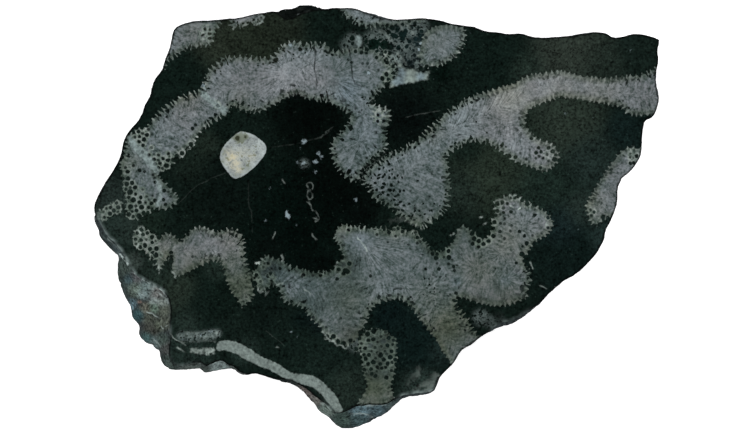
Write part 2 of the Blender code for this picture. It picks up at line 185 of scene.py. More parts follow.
# Open tubes seen end on, and the dark gaps between the coral's walls: (x, y, radius)
TUBES = [
    # Left chain
    (116, 202.5, 1.6), (117.5, 207, 2.2), (113.5, 210, 2.0), (117.5, 211, 1.4), (109.5, 213, 2.0),
    (110, 207, 1.6), (106, 208, 1.4), (103, 211.5, 1.2), (104, 217, 1.5),
    # Left honeycomb
    (126.5, 183.5, 2.4), (131.5, 182.5, 2.0), (129.5, 187, 1.4), (134.5, 187, 2.0),
    (125.5, 189, 1.6), (129.5, 191.5, 2.8), (135, 193.5, 1.6), (142, 189, 1.2), (128.5, 197, 1.8),
    (132.5, 199.5, 2.6), (139, 202, 2.0), (130, 206.5, 2.6), (135.5, 205.5, 1.4), (141, 206.5, 2.4),
    (148, 207, 1.8), (145, 202, 1.4), (136, 210, 1.8), (131.5, 211, 1.6), (143, 212.5, 2.0),
    (128.5, 214, 2.4), (132.5, 216, 1.8), (138.5, 215.5, 2.6), (147, 212, 1.6), (154.5, 181.5, 1.6),
    (140, 197, 1.6), (146, 196, 1.2), (152, 195, 1.2), (151, 203, 1.8), (154.5, 200, 2.0),
    (127, 171, 2.0), (125, 167, 1.4), (133, 165, 1.4), (139, 170, 1.8), (127.5, 178, 2.2),
    (122.5, 178, 1.6), (144, 171, 1.4),
    # Arch's left end
    (141.5, 127.5, 1.6), (148, 129, 1.4), (142, 133, 1.4), (146.5, 134.5, 1.8), (138, 131, 1.8),
    (139, 136, 1.6), (134.5, 136.5, 1.4), (143.5, 139, 2.2), (138.5, 141, 1.8), (142.5, 145, 1.6),
    (142, 151.5, 1.6), (150, 123, 1.6), (145, 125, 1.4), (148.5, 154.5, 1.8), (151, 147, 1.2),
    (153.5, 159, 1.8), (154.5, 163.5, 1.6), (158, 159.5, 1.4), (158, 154.5, 1.4), (159.5, 163, 1.6),
    (162.5, 158, 1.6), (167.5, 160, 2.0), (166, 165, 2.5), (158, 167, 1.6), (155.5, 169.5, 1.4),
    (162, 168, 1.4), (152.5, 174.5, 1.4), (154, 177.5, 1.4), (168, 153, 1.6), (173, 159.5, 2.2),
    (176.5, 155.5, 2.0), (181.5, 153, 2.0), (187, 147, 1.4), (190.5, 143.5, 2.0), (186, 137, 1.0),
    (192, 128, 1.8), (195, 124.5, 1.4), (163.5, 190, 1.8), (168, 191.5, 1.2), (163, 199, 1.6),
    (165, 204, 1.6), (172, 204.5, 1.5), (170, 196, 1.2),
    # Left hook
    (141, 229, 2.2), (136.5, 232.5, 1.6), (142.5, 234, 1.8), (147, 232.5, 1.8), (135, 238.5, 1.7),
    (140.5, 239.5, 1.8), (151.5, 236.5, 2.2), (158.5, 237, 2.2), (144.5, 245, 2.2),
    (140, 246.5, 1.8), (135.5, 243.5, 1.4), (151.5, 242, 1.6), (155, 240.5, 1.2),
    (149.5, 248.5, 2.0), (156, 248, 2.4), (152, 252, 1.8), (155.5, 254.5, 2.6), (160, 254.5, 1.2),
    (154.5, 261, 2.0), (152, 258, 1.4), (146, 239, 1.2), (170.5, 252.5, 1.9), (171, 255.5, 1.9),
    (170.8, 258.5, 2.0), (170.5, 261.5, 2.3), (169, 264.5, 2.6), (181, 237, 2.2), (181.5, 240, 1.6),
    (178.5, 236, 2.0), (179, 239.5, 1.8), (187.5, 234, 1.6), (192, 256, 1.2),
    # Lower middle, top border
    (348, 229.5, 1.6), (361, 227, 2.0), (373, 226, 1.6), (378, 226.5, 1.6), (383, 227, 1.8),
    (388.5, 232, 1.8), (394, 229, 1.3), (397.5, 228, 1.6), (402, 231, 1.7), (395, 235.5, 1.4),
    (376.5, 234, 1.3), (409.5, 229, 1.6), (415, 232, 1.4), (416.5, 237, 1.8), (417, 242.5, 1.3),
    (419.5, 241, 1.3), (349, 263, 2.0), (347, 271, 2.2), (370, 275.5, 1.4), (333.5, 231.5, 2.0),
    (335, 242.5, 1.2), (342, 244.5, 1.2), (337, 252, 2.6), (264, 263, 1.2), (258, 277, 1.2),
    # Arch's right end
    (376, 57, 1.6), (386.5, 62, 1.9), (386, 58, 1.4), (392.5, 66.5, 1.8), (386, 73.5, 2.3),
    (396.5, 69, 1.6), (393, 72.5, 2.0), (382, 78, 2.2), (388, 79, 1.6), (393, 77, 1.6),
    (386, 83.5, 2.0), (390, 81.5, 1.5), (378, 69.5, 1.2), (362, 63, 1.2), (367, 63, 1.2),
    (368.5, 67, 1.0), (396, 63.5, 1.8), (398, 56, 1.8), (347.5, 59, 1.2), (361, 52, 1.8),
    (355, 51, 1.5), (366, 49, 2.0), (366, 52.5, 1.5), (376, 50, 1.6), (385, 51.5, 1.6),
    (389, 52.5, 2.0), (351, 62, 1.4),
    # Round patch
    (425.5, 37, 1.4), (420, 68, 2.2), (426, 66, 1.8), (432, 68, 2.0), (419, 59, 1.6),
    # Lower middle, left
    (267.5, 263, 1.6), (263, 266.5, 1.2), (260, 281, 1.2), (256, 275, 2), (254, 283, 2.5),
    (279.5, 268, 1.5), (303.2, 274.5, 1.7), (301.5, 276.5, 1.3), (312.5, 275, 1.1),
    (320.5, 271.5, 1.7), (320, 274.5, 2.0), (336.5, 278.5, 1.7), (341, 257, 2.6), (338, 269, 1.8),
    (345, 270, 2.6), (343, 273, 2.0), (287, 302, 1.5), (291, 301, 1.5), (326, 327, 1.2),
    (323, 334, 1.8), (326.5, 336, 2.0), (333, 336, 2.2), (337.5, 341, 2.2), (343, 343, 2.4),
    (350, 340, 2.0), (312.5, 317, 1.4),
    # Bottom patch
    (432, 338.5, 1.8), (438.5, 347, 1.6),
    # Right lobes
    (501.5, 202, 2.0), (497, 203, 2.4), (507, 203, 1.5), (503, 207.5, 1.4), (510.5, 197.5, 1.4),
    (514, 197, 1.6), (521.5, 200, 1.8), (526.5, 203.5, 2.2), (497, 210, 1.8), (503, 212, 1.6),
    (510.5, 211.5, 1.6), (500, 214, 1.2), (504, 218, 1.4), (494, 221.5, 2.0), (500, 223, 1.4),
    (504, 223.5, 1.2), (511, 225, 1.2), (493, 228, 1.7), (499.5, 231, 1.4), (510, 230.5, 1.2),
    (493, 235.5, 2.2), (504, 238, 1.3), (488, 240.5, 1.8), (483, 243.5, 2.0), (478, 240.5, 2.0),
    (478, 246.5, 1.8), (473.5, 238, 2.2), (471.5, 233, 2.2), (472, 243, 1.8), (469, 241, 1.2),
    (448, 250.5, 1.8), (436.5, 253.5, 1.6), (432, 253, 2.0), (435.5, 257.5, 2.0),
    (443.5, 256.5, 1.3), (448.5, 257, 2.2), (448, 263.5, 1.4), (453, 266, 1.5), (425, 268.5, 1.5),
    (438.5, 268.5, 1.6), (436.5, 263, 1.2), (454, 270, 1.4), (480.5, 256.5, 0.9), (461, 254, 0.9),
    (524, 235.5, 1.6), (522, 246, 1.4), (526, 243, 2.0), (521.5, 253.5, 2.4), (519, 231, 1.5),
    (530.8, 138, 1.6), (538, 147.3, 1.5), (535.8, 152, 1.8), (540.4, 151.2, 1.5),
    (538.5, 155.8, 1.4), (542.7, 157.7, 1.5), (535.4, 157.7, 1.3), (546.5, 153.8, 1.3),
    (541.2, 142.3, 1.0), (548, 147.3, 1.8), (552, 150.8, 2.0), (554.2, 158.8, 2.5),
    (555.4, 154.6, 1.5), (548, 160.4, 1.3), (540, 167.3, 1.6), (515, 156.5, 2.0),
    (508.5, 155.4, 2.2), (533.5, 169.2, 2.0), (544.2, 168.8, 1.3), (525.8, 158.5, 1.3),
    (519.6, 152.7, 1.1), (516, 262.5, 1.5), (547.5, 217, 1.5), (547.5, 227.5, 1.4), (532, 235, 1.2),
    (541, 233, 1.1),
    # Right edge
    (617, 151, 2.0), (620.5, 147.5, 1.0), (625, 146, 1.5), (630, 146, 1.8), (636, 146, 2.0),
    (613, 157.5, 2.4), (630, 153.5, 1.2), (630, 156.5, 1.4), (632.5, 157, 1.2), (636, 155.5, 1.8),
    (630, 163, 1.6), (633, 162.5, 1.6), (585, 208, 1.6), (590, 209.5, 1.4), (587, 212, 1.2),
    (593.5, 211.5, 1.5), (591, 215, 1.6), (587, 218, 1.6), (603, 216.5, 2.4), (607, 217.5, 2.2),
    # Lace beside the arch
    (373, 44, 5.5), (384, 44, 4.5), (390, 46, 3.5), (398, 47.5, 2.2), (366, 41, 2), (362, 38, 2),
    (351.5, 38, 2.4), (352, 43, 1.6), (380, 39.5, 1.6), (393, 35, 2.5), (402, 34, 4),
    (402, 38, 2.5), (409, 41, 1.8), (416, 38, 2.2), (406, 46, 1.8), (417, 44, 1.6), (413, 50, 1.4),
    (404, 59, 2.0), (409, 62, 2.0), (414, 55, 1.6), (404, 64, 1.6), (412, 66, 1.8), (414, 60, 1.4),
    (410, 71, 1.0), (397, 25, 2.2), (402, 24, 1.6), (391, 27, 3), (397, 29, 2.2), (387, 25, 2),
    (409, 21, 1.6), (414.5, 23, 1.8), (410, 27, 2.5), (418, 27, 1.6), (421, 31, 2), (419, 35, 2.5),
    (405, 31, 2.2), (388, 31, 2.5), (396, 36, 2),
    # The column at the lower edge
    (360, 331.8, 2.3), (367, 333.8, 2.4), (366.5, 327.8, 1.7), (373.3, 330.6, 2.6),
    (391.2, 333.6, 2.0), (388.2, 337.4, 1.9), (380.4, 336, 1.3), (372.8, 338.8, 1.9),
    (368, 339.7, 1.8), (385, 331.5, 1.2), (355.8, 348.6, 1.8), (364.8, 348, 1.8), (359, 338, 1.7),
    (361, 343, 1.4), (379.6, 354.4, 2.6), (384.6, 350.8, 1.3), (386, 353.4, 1.3),
    (390.8, 350.9, 1.8), (389.6, 356.6, 2.3), (391.7, 361.8, 1.4), (387.2, 363, 2.0),
    (394.8, 359.2, 1.7), (383.2, 359, 2.0), (379.6, 363.4, 1.9), (372.9, 361.6, 2.2),
    (368.4, 354.4, 1.8), (365.3, 358, 2.1), (363.4, 354.2, 1.6), (367.6, 363.6, 1.8),
    (370.6, 368.8, 1.8), (371.5, 373.3, 2.0), (374.7, 375.2, 2.0), (363.9, 369, 1.8),
    (375, 358, 1.3), (376.8, 352, 1.3), (381, 346, 1.2), (385.9, 377, 2.0), (374.5, 347, 1.2),
    (387, 345, 1.9), (392, 344, 1.4), (371, 350.5, 1.2), (377, 366.5, 1.7), (381, 367.5, 1.7),
    (385, 366.8, 1.6), (391, 370, 1.4), (366, 373.5, 1.2), (377, 341.5, 1.2), (393, 339.5, 1.4),
    (376, 371, 1.2),
]
# Where the coral has fine pores
PORES = [
    (385, 186, 20, 0.9), (397, 203, 14, 0.8), (372, 172, 8, 0.7), (420, 214, 16, 0.4),
    (445, 170, 10, 0.3), (545, 156, 12, 0.55), (528, 152, 14, 0.3), (438, 268, 14, 0.6),
    (430, 282, 12, 0.4), (480, 130, 12, 0.25), (195, 28, 10, 0.5), (150, 190, 14, 0.5),
    (168, 196, 12, 0.5), (300, 50, 12, 0.3), (215, 68, 12, 0.3), (415, 240, 14, 0.5),
    (350, 230, 10, 0.5), (388, 234, 12, 0.5), (515, 215, 14, 0.3), (468, 320, 14, 0.5),
    (345, 340, 16, 0.3), (180, 150, 12, 0.3), (590, 205, 14, 0.3), (365, 100, 10, 0.4),
]

# Where the coral's border and the stone behind it are smooth, with few pores
CALM = [
    (445, 26, 16, 0.9), (440, 44, 18, 0.6), (232, 275, 12, 0.7), (238, 292, 12, 0.6),
    (395, 310, 14, 0.7), (412, 328, 14, 0.8), (428, 344, 14, 0.8), (190, 268, 16, 0.8),
    (459, 240, 12, 0.9), (195, 20, 20, 0.6), (355, 345, 12, 0.7), (375, 392, 18, 1.0),
    (645, 105, 16, 0.6), (520, 92, 30, 0.7), (580, 88, 40, 0.7), (610, 190, 22, 0.5),
    (200, 240, 24, 0.5), (350, 300, 20, 0.3), (512, 297, 14, 0.5), (270, 95, 16, 0.4),
    (490, 298, 18, 1.0), (470, 292, 10, 0.8), (445, 345, 18, 0.7), (300, 95, 12, 0.5),
    (340, 100, 12, 0.4),
]
# Where the coral is warm and lilac above 0, or bluish below 0
WARMTH = [
    (190, 35, 26, 0.7), (245, 18, 20, 1.0), (240, 78, 34, 0.8), (285, 82, 30, 1.0),
    (318, 78, 18, 0.8), (185, 115, 22, 0.8), (390, 62, 12, 0.3), (505, 95, 34, 0.9),
    (550, 88, 30, 1.0), (600, 92, 34, 0.9), (645, 95, 24, 1.0), (495, 130, 26, 0.8),
    (540, 155, 26, 1.0), (612, 185, 34, 0.9), (195, 247, 34, 0.9), (232, 240, 18, 1.0),
    (548, 225, 18, 0.8), (480, 330, 22, 0.9), (510, 250, 30, 0.4), (150, 250, 16, 0.7),
    (475, 298, 20, 0.9), (350, 336, 16, 1.2), (510, 297, 20, 1.0), (395, 88, 8, 0.6),
    (430, 335, 20, 0.9), (505, 200, 14, 1.0), (190, 92, 16, 0.9), (150, 236, 14, 1.0),
    (470, 265, 16, 0.4), (505, 281, 9, -1.0), (457, 281, 6, -0.9), (540, 214, 5, -0.5),
    (460, 244, 8, 0.3), (348, 90, 16, -0.7), (602, 184, 8, -1.0), (397, 82, 7, -1.2),
    (400, 72, 5, -1.2), (420, 76, 5, -0.9), (358, 240, 12, -0.4), (345, 30, 10, -0.6),
    (370, 130, 26, -0.3), (275, 270, 18, -0.5), (310, 290, 20, -0.3),
]

# Lines that the coral's fibres spread out from: (lean, points); the lean is along the line
SPINES = [
    (0.5, [(140, 163), (155, 143), (170, 126), (185, 112), (200, 102)]),
    (0.7, [(272, 73), (255, 77), (238, 84), (222, 90)]),
    (0.8, [(275, 71), (286, 68), (298, 66), (307, 68)]),
    (0.0, [(328, 78), (331, 79)]),
    (0.0, [(363, 67), (366, 68)]),
    (0.4, [(362, 94), (363, 105), (362, 118)]),
    (0.0, [(360, 134), (361, 140)]),
    (0.5, [(384, 190), (398, 180), (412, 168), (425, 154), (440, 140)]),
    (1.3, [(450, 134), (462, 125), (478, 117), (495, 109), (512, 101), (528, 95)]),
    (0.4, [(540, 88), (560, 84), (590, 89), (620, 94), (652, 96)]),
    (0.8, [(502, 120), (515, 131), (530, 145), (546, 157)]),
    (0.4, [(634, 158), (614, 180), (602, 200), (594, 214)]),
    (0.6, [(425, 290), (433, 306), (441, 325), (455, 345)]),
    (0.2, [(376, 281), (390, 281), (404, 284)]),
    (1.0, [(279, 283), (295, 284), (307, 288), (320, 292), (334, 298)]),
    (0.5, [(338, 304), (343, 318), (346, 332)]),
    (0.3, [(476, 268), (490, 276), (506, 279)]),
    (0.3, [(524, 226), (512, 240), (500, 253)]),
    (0.4, [(150, 244), (163, 250), (180, 252), (198, 250)]),
    (0.6, [(206, 246), (218, 250), (228, 247)]),
    (0.6, [(231, 254), (237, 272), (243, 290)]),
    (0.5, [(346, 8), (362, 16), (385, 19), (420, 17)]),
    (0.2, [(432, 50), (440, 42), (446, 36)]),
    (0.6, [(208, 24), (192, 35), (172, 48)]),
    (0.3, [(378, 405), (378, 385), (378, 360), (378, 340)]),
]
# Points that the fibres spread out from over a wide fan: (x, y, radius, the fan's middle as degrees)
STARS = [
    (361, 242, 52, -10), (329, 77, 44, -32), (290, 72, 46, 198),
]

# Where the fibres are clear; elsewhere the coral is more mottled: (x, y, radius, strength)
CLEAR_FIBRES = [
    (288, 72, 16, 1.0), (366, 244, 26, 1.0), (392, 250, 22, 0.7), (346, 88, 18, 1.0),
    (333, 70, 12, 0.6), (462, 122, 18, 0.9), (490, 112, 18, 0.8), (515, 96, 14, 0.5),
    (642, 95, 16, 0.5), (402, 296, 14, 0.6), (440, 40, 16, 0.5), (500, 284, 14, 0.4),
    (445, 315, 14, 0.4), (160, 150, 14, 0.4), (185, 120, 14, 0.4), (350, 100, 14, 0.6),
]

# Lighter and darker parts of the coral
CORAL_LIGHT = [
    (288, 72, 18, 0.6), (286, 70, 9, 0.3), (492, 116, 9, -0.28), (440, 256, 11, -0.35),
    (610, 190, 12, -0.18), (430, 291, 13, 0.26), (388, 338, 12, -0.25), (270, 265, 14, -0.15),
    (310, 72, 26, 0.2), (245, 76, 18, -0.02), (222, 85, 18, 0.1), (180, 125, 26, 0.12),
    (190, 95, 14, 0.1), (272, 97, 16, 0.36), (350, 60, 18, -0.22), (345, 90, 18, 0.12),
    (350, 155, 22, -0.18), (385, 160, 14, 0.1), (392, 197, 18, -0.4), (430, 202, 20, -0.28),
    (460, 120, 24, 0.38), (484, 104, 18, 0.2), (508, 98, 24, 0.62), (556, 88, 36, 0.5),
    (600, 90, 22, 0.2), (632, 98, 20, 0.02), (512, 145, 26, 0.45), (540, 158, 16, 0.15),
    (602, 196, 24, 0.18), (362, 243, 8, 0.4), (388, 232, 18, -0.22), (432, 246, 18, -0.4),
    (472, 238, 16, -0.42), (346, 230, 10, -0.15), (395, 262, 22, -0.12), (345, 268, 16, -0.45),
    (308, 272, 16, -0.35), (268, 270, 20, -0.5), (314, 304, 20, -0.36), (350, 295, 20, -0.2),
    (347, 332, 18, -0.36), (430, 288, 26, -0.26), (472, 264, 18, -0.22), (495, 280, 24, -0.26),
    (448, 330, 26, -0.44), (506, 296, 16, -0.22), (238, 284, 18, -0.42), (378, 345, 20, -0.55),
    (384, 355, 13, -0.14), (389, 77, 8, -0.25), (376, 370, 18, -0.6), (378, 395, 14, -0.28),
    (190, 262, 18, -0.1), (163, 264, 12, 0.25), (198, 243, 16, 0.06), (365, 18, 16, 0.04),
    (352, 14, 10, 0.3), (244, 238, 12, 0.12), (496, 154, 12, 0.12), (384, 154, 12, 0.12),
    (496, 266, 12, 0.12), (216, 238, 10, -0.1), (524, 292, 12, -0.1), (242, 240, 10, 0.2),
    (384, 126, 10, -0.28), (300, 294, 10, -0.3), (524, 210, 12, 0.14), (190, 35, 20, 0.02),
    (248, 20, 16, 0.35), (296, 286, 10, 0.2), (215, 252, 6, 0.25), (487, 277, 8, 0.16),
    (145, 190, 24, -0.2), (548, 222, 16, 0.15), (348, 262, 18, -0.28), (310, 268, 16, -0.3),
    (275, 268, 14, -0.25), (335, 300, 26, -0.24), (352, 164, 14, 0.22), (470, 296, 12, -0.15),
    (388, 333, 10, -0.2),
]
# Where the coral has an olive stain
CORAL_OLIVE = [
    (448, 325, 26, 1.0), (436, 350, 18, 0.8), (165, 252, 14, 0.6), (240, 285, 20, 0.9),
    (375, 388, 20, 1.0), (190, 262, 16, 0.4), (415, 222, 12, 0.6), (395, 228, 14, 0.4),
    (345, 228, 10, 0.6), (130, 162, 12, 0.5), (505, 295, 22, 0.3), (240, 100, 14, 0.3),
    (560, 95, 26, 0.3), (430, 40, 16, 0.2), (505, 240, 26, 0.5), (480, 270, 26, 0.45),
    (430, 128, 14, 0.5), (185, 95, 16, 0.45), (200, 268, 20, 0.4), (430, 300, 22, 0.4),
    (232, 238, 16, 0.35), (195, 30, 16, 0.3), (510, 95, 26, 0.5), (190, 268, 18, 0.5),
    (232, 262, 16, 0.5), (350, 300, 22, 0.45), (590, 205, 16, 0.5), (600, 95, 22, 0.3),
    (350, 335, 12, 0.4),
]

# Tints of the black matrix: (x, y, radius, colour), the colours as display values out of 255
OLIVE = (39, 46, 38)
BLACK = (1, 4, 3)
BLUE = (22, 35, 36)
GREEN = (13, 25, 21)
MATRIX_TINTS = [
    (250, 38, 42, (31, 38, 30)), (215, 42, 22, OLIVE), (285, 28, 22, (28, 35, 28)),
    (318, 28, 20, GREEN), (180, 80, 34, GREEN), (310, 118, 34, BLACK), (290, 220, 50, (3, 12, 9)),
    (330, 190, 40, BLACK), (405, 118, 26, (4, 9, 8)), (225, 195, 34, (8, 17, 14)),
    (190, 165, 16, (20, 30, 25)), (205, 145, 12, (28, 38, 32)), (570, 48, 36, (44, 52, 46)),
    (600, 60, 22, (28, 38, 33)), (565, 118, 32, (40, 50, 43)), (500, 60, 34, GREEN),
    (495, 172, 34, (36, 46, 38)), (540, 190, 30, (25, 38, 33)), (590, 158, 24, (30, 42, 39)),
    (625, 130, 18, (15, 28, 27)), (570, 255, 36, (11, 23, 21)), (560, 225, 20, BLUE),
    (462, 190, 18, (31, 42, 37)), (415, 340, 28, (11, 24, 23)), (390, 315, 16, (8, 20, 20)),
    (298, 335, 26, (16, 28, 24)), (318, 318, 16, (9, 17, 20)), (205, 308, 24, (15, 27, 23)),
    (176, 292, 18, (36, 46, 39)), (322, 362, 24, (19, 31, 27)), (345, 388, 20, (31, 42, 37)),
    (225, 302, 18, (9, 20, 16)), (232, 326, 20, (17, 28, 24)), (108, 195, 18, (34, 44, 41)),
    (112, 225, 16, (32, 44, 40)), (128, 228, 14, (34, 45, 41)), (155, 275, 18, (29, 40, 35)),
    (420, 385, 16, (36, 48, 44)), (635, 45, 20, (20, 31, 27)), (440, 238, 12, GREEN),
    (360, 212, 14, (3, 7, 6)), (190, 355, 22, (30, 42, 38)), (300, 285, 14, (4, 10, 9)),
    (262, 310, 20, (10, 20, 17)), (405, 38, 12, (13, 28, 27)), (415, 40, 9, (20, 34, 36)),
    (409, 58, 9, (16, 26, 27)), (375, 43, 10, (8, 24, 19)), (270, 245, 16, (5, 11, 9)),
    (150, 222, 12, (22, 34, 28)), (605, 238, 16, (34, 48, 46)), (524, 70, 16, (36, 48, 42)),
    (470, 150, 14, (14, 26, 22)), (305, 266, 14, (2, 6, 5)), (326, 262, 9, (2, 6, 5)),
    (188, 320, 12, (34, 46, 41)), (580, 210, 16, (36, 48, 44)), (244, 350, 12, (30, 42, 38)),
    (300, 236, 20, (0, 3, 2)), (216, 268, 10, (30, 42, 37)), (300, 322, 10, (3, 13, 13)),
    (440, 70, 10, (4, 14, 10)), (440, 350, 12, (28, 40, 38)), (470, 322, 10, (8, 19, 15)),
    (493, 320, 9, (10, 20, 16)), (133, 262, 8, (52, 62, 58)), (140, 118, 12, GREEN),
]
MATRIX_REST = (13, 24, 20)

# Pale calcite, in outlines
CALCITE = [
    [
        (217, 343), (222, 340), (231, 340.5), (240, 343), (250, 349), (260, 355.5), (270, 360),
        (280, 365), (290, 372), (300, 373.5), (310, 375), (318, 378), (326, 385), (333, 392),
        (338, 400), (341, 407), (342, 411), (336, 412), (331, 407), (325, 399), (318, 391),
        (312, 387), (303, 384), (293, 381), (285, 378), (278, 374.5), (270, 370), (262, 367),
        (254, 363.5), (245, 359), (235, 353), (226, 350), (217, 350),
    ],
]
WEDGE = [
    (399, 62), (403, 64.5), (405, 67), (409, 67), (413, 67.5), (417, 71), (424, 71), (429, 70),
    (428, 74), (427, 79), (421, 80), (415, 81.5), (408, 83), (402, 84.5), (394, 86.5), (388, 87),
    (389, 83), (393, 80), (397, 76), (398.5, 70),
]
WHITE_PATCH = [
    (241, 131), (246, 132), (251, 133.5), (257, 137), (263, 142), (265.5, 146), (265.5, 151),
    (263.5, 155), (258.5, 161.5), (254, 166.5), (248, 171.5), (242.5, 175.5), (238, 177.2),
    (234.8, 178.2), (232.3, 177), (229.8, 174.6), (226.2, 170.2), (222, 164), (219.7, 158.5),
    (219.7, 154.5), (221.2, 149.5), (225, 143.5), (230, 138.5), (235, 134), (238, 132),
]
# Its tan stain and its brown spots: (x, y, radius, strength)
PATCH_STAIN = [
    (242, 152, 6, 0.3), (232, 157, 6.5, 1.0), (235, 163.5, 5.5, 1.0), (238, 169, 4, 0.8),
    (228, 153, 4.5, 0.6), (250, 156, 6, 0.3),
]
PATCH_SPOTS = [
    (241, 136, 6.5, 0.42), (237, 137.5, 3.4, 1.5), (238, 140.5, 2.0, 0.9),
    (244.8, 136.3, 2.6, 1.25), (242, 140.7, 1.6, 0.8), (246, 167, 6, 0.26), (239, 175, 5, 0.18),
    (232, 174, 4, 0.12), (223, 152, 4, 0.25), (221.5, 160, 4, 0.25), (226, 157, 4, 0.2),
    (254, 151, 6, 0.1),
]
# Soft pale streaks of calcite that cross the coral
STREAKS = [
    [
        (127, 135), (132, 137), (139, 144), (147, 151), (154, 160), (158, 169), (156, 174),
        (149, 167), (142, 159), (134, 151), (128, 142),
    ],
    [
        (154, 178), (159, 181), (162, 190), (162, 198), (158, 206), (154, 205), (158, 196),
        (157, 187),
    ],
    [
        (199, 90), (205, 91), (212, 98), (219, 103), (228, 108), (225, 115), (217, 109),
        (210, 104), (202, 98),
    ],
    [(355, 36), (360, 35), (362, 40), (360, 46), (356, 44)],
]
VEINS = {
    "calcite": CALCITE, "wedge": [WEDGE], "white_patch": [WHITE_PATCH], "streaks": STREAKS,
}

# Where the teeth along the coral's border are nearly white: (x, y, radius, strength)
BRIGHT_TEETH = [
    (430, 66, 9, 0.7), (442, 62, 9, 0.9), (454, 53, 9, 0.8), (462, 42, 8, 0.4), (175, 100, 14, 1.0),
    (192, 92, 10, 1.0), (147, 125, 12, 0.9), (205, 84, 7, 0.9), (196, 138, 14, 0.8),
    (182, 152, 12, 0.7), (210, 122, 10, 0.6), (288, 42, 16, 0.4), (400, 148, 20, 0.5),
    (430, 125, 14, 0.5), (210, 228, 20, 0.6), (355, 225, 18, 0.5), (330, 250, 20, 0.5),
    (520, 200, 20, 0.5), (425, 222, 14, 0.7), (545, 150, 14, 0.5), (268, 258, 10, 0.6),
    (380, 110, 12, 0.6), (450, 64, 14, 0.4), (600, 210, 14, 0.5), (640, 150, 14, 0.5),
    (310, 320, 20, 0.3),
]

# Where the coral's thin walls show faintly in the dark stone beside it
GHOST_COMB = [
    (375, 41, 12, 0.6), (388, 38, 12, 0.6), (400, 42, 12, 0.6), (408, 52, 11, 0.35),
    (352, 40, 8, 0.4), (345, 44, 6, 0.3), (409, 57, 9, 0.25), (414, 47, 7, 0.5), (403, 32, 8, 0.4),
    (395, 60, 8, 0.9), (412, 30, 8, 0.7), (392, 72, 6, 0.9), (418, 64, 6, 0.7), (304, 163, 5, 0.4),
    (420, 24, 8, 0.6), (181, 335, 4.5, 0.6), (189, 336, 5, 0.6), (197, 336, 5, 0.6),
    (205, 335, 5, 0.75), (212, 334, 5, 0.8), (217, 333, 4, 0.9), (354, 344, 8, 0.35),
    (480, 317, 8, 0.5), (490, 321, 7, 0.3), (498, 318, 6, 0.15),
]
# Small pale grains in the dark stone: (x, y, radius, strength)
SPECKS = [
    (304, 141, 3.6, 1.0), (303, 163, 4.2, 0.75), (297, 162, 3.0, 0.6), (301, 168, 2.8, 0.55),
    (315, 161, 4.0, 0.75), (314.5, 171.5, 3.2, 0.7), (318, 153, 3.0, 0.9), (321, 157, 3.4, 0.7),
    (287, 215, 3.0, 1.2), (286, 211.5, 2.4, 1.0), (288, 218, 2.4, 0.9), (269.5, 187.5, 2.6, 0.6),
    (265, 220, 2.6, 0.6), (299, 147, 3.0, 0.4), (296, 225, 3.2, 0.4), (324, 147, 3.2, 0.45),
    (355, 199, 3.2, 0.7), (418, 48.7, 1.5, 1.7), (420, 43, 1.5, 1.2), (368, 72.5, 2.0, 1.4),
    (630, 50, 3.0, 0.5), (565, 113, 3.2, 0.6), (593, 117, 3.0, 0.5), (600, 124, 3.0, 0.45),
    (570, 230, 3.4, 0.4), (585, 235, 3.2, 0.4), (578, 229, 2.8, 0.35), (290, 332, 3.0, 0.6),
    (296, 337, 2.8, 0.5), (183, 339.8, 2.0, 0.8), (187, 339.8, 2.0, 0.8), (200.5, 334.5, 2.4, 0.8),
    (209, 330, 2.8, 0.7), (213, 330.5, 2.6, 0.6), (191, 332, 2.2, 0.5), (184, 334, 2.2, 0.45),
    (200.5, 339, 1.8, 0.5), (290, 45, 2.4, 1.0), (203, 85, 3.0, 1.0), (205, 89, 2.6, 0.8),
    (434, 79, 2.6, 0.5), (470, 32, 2.8, 0.45),
]
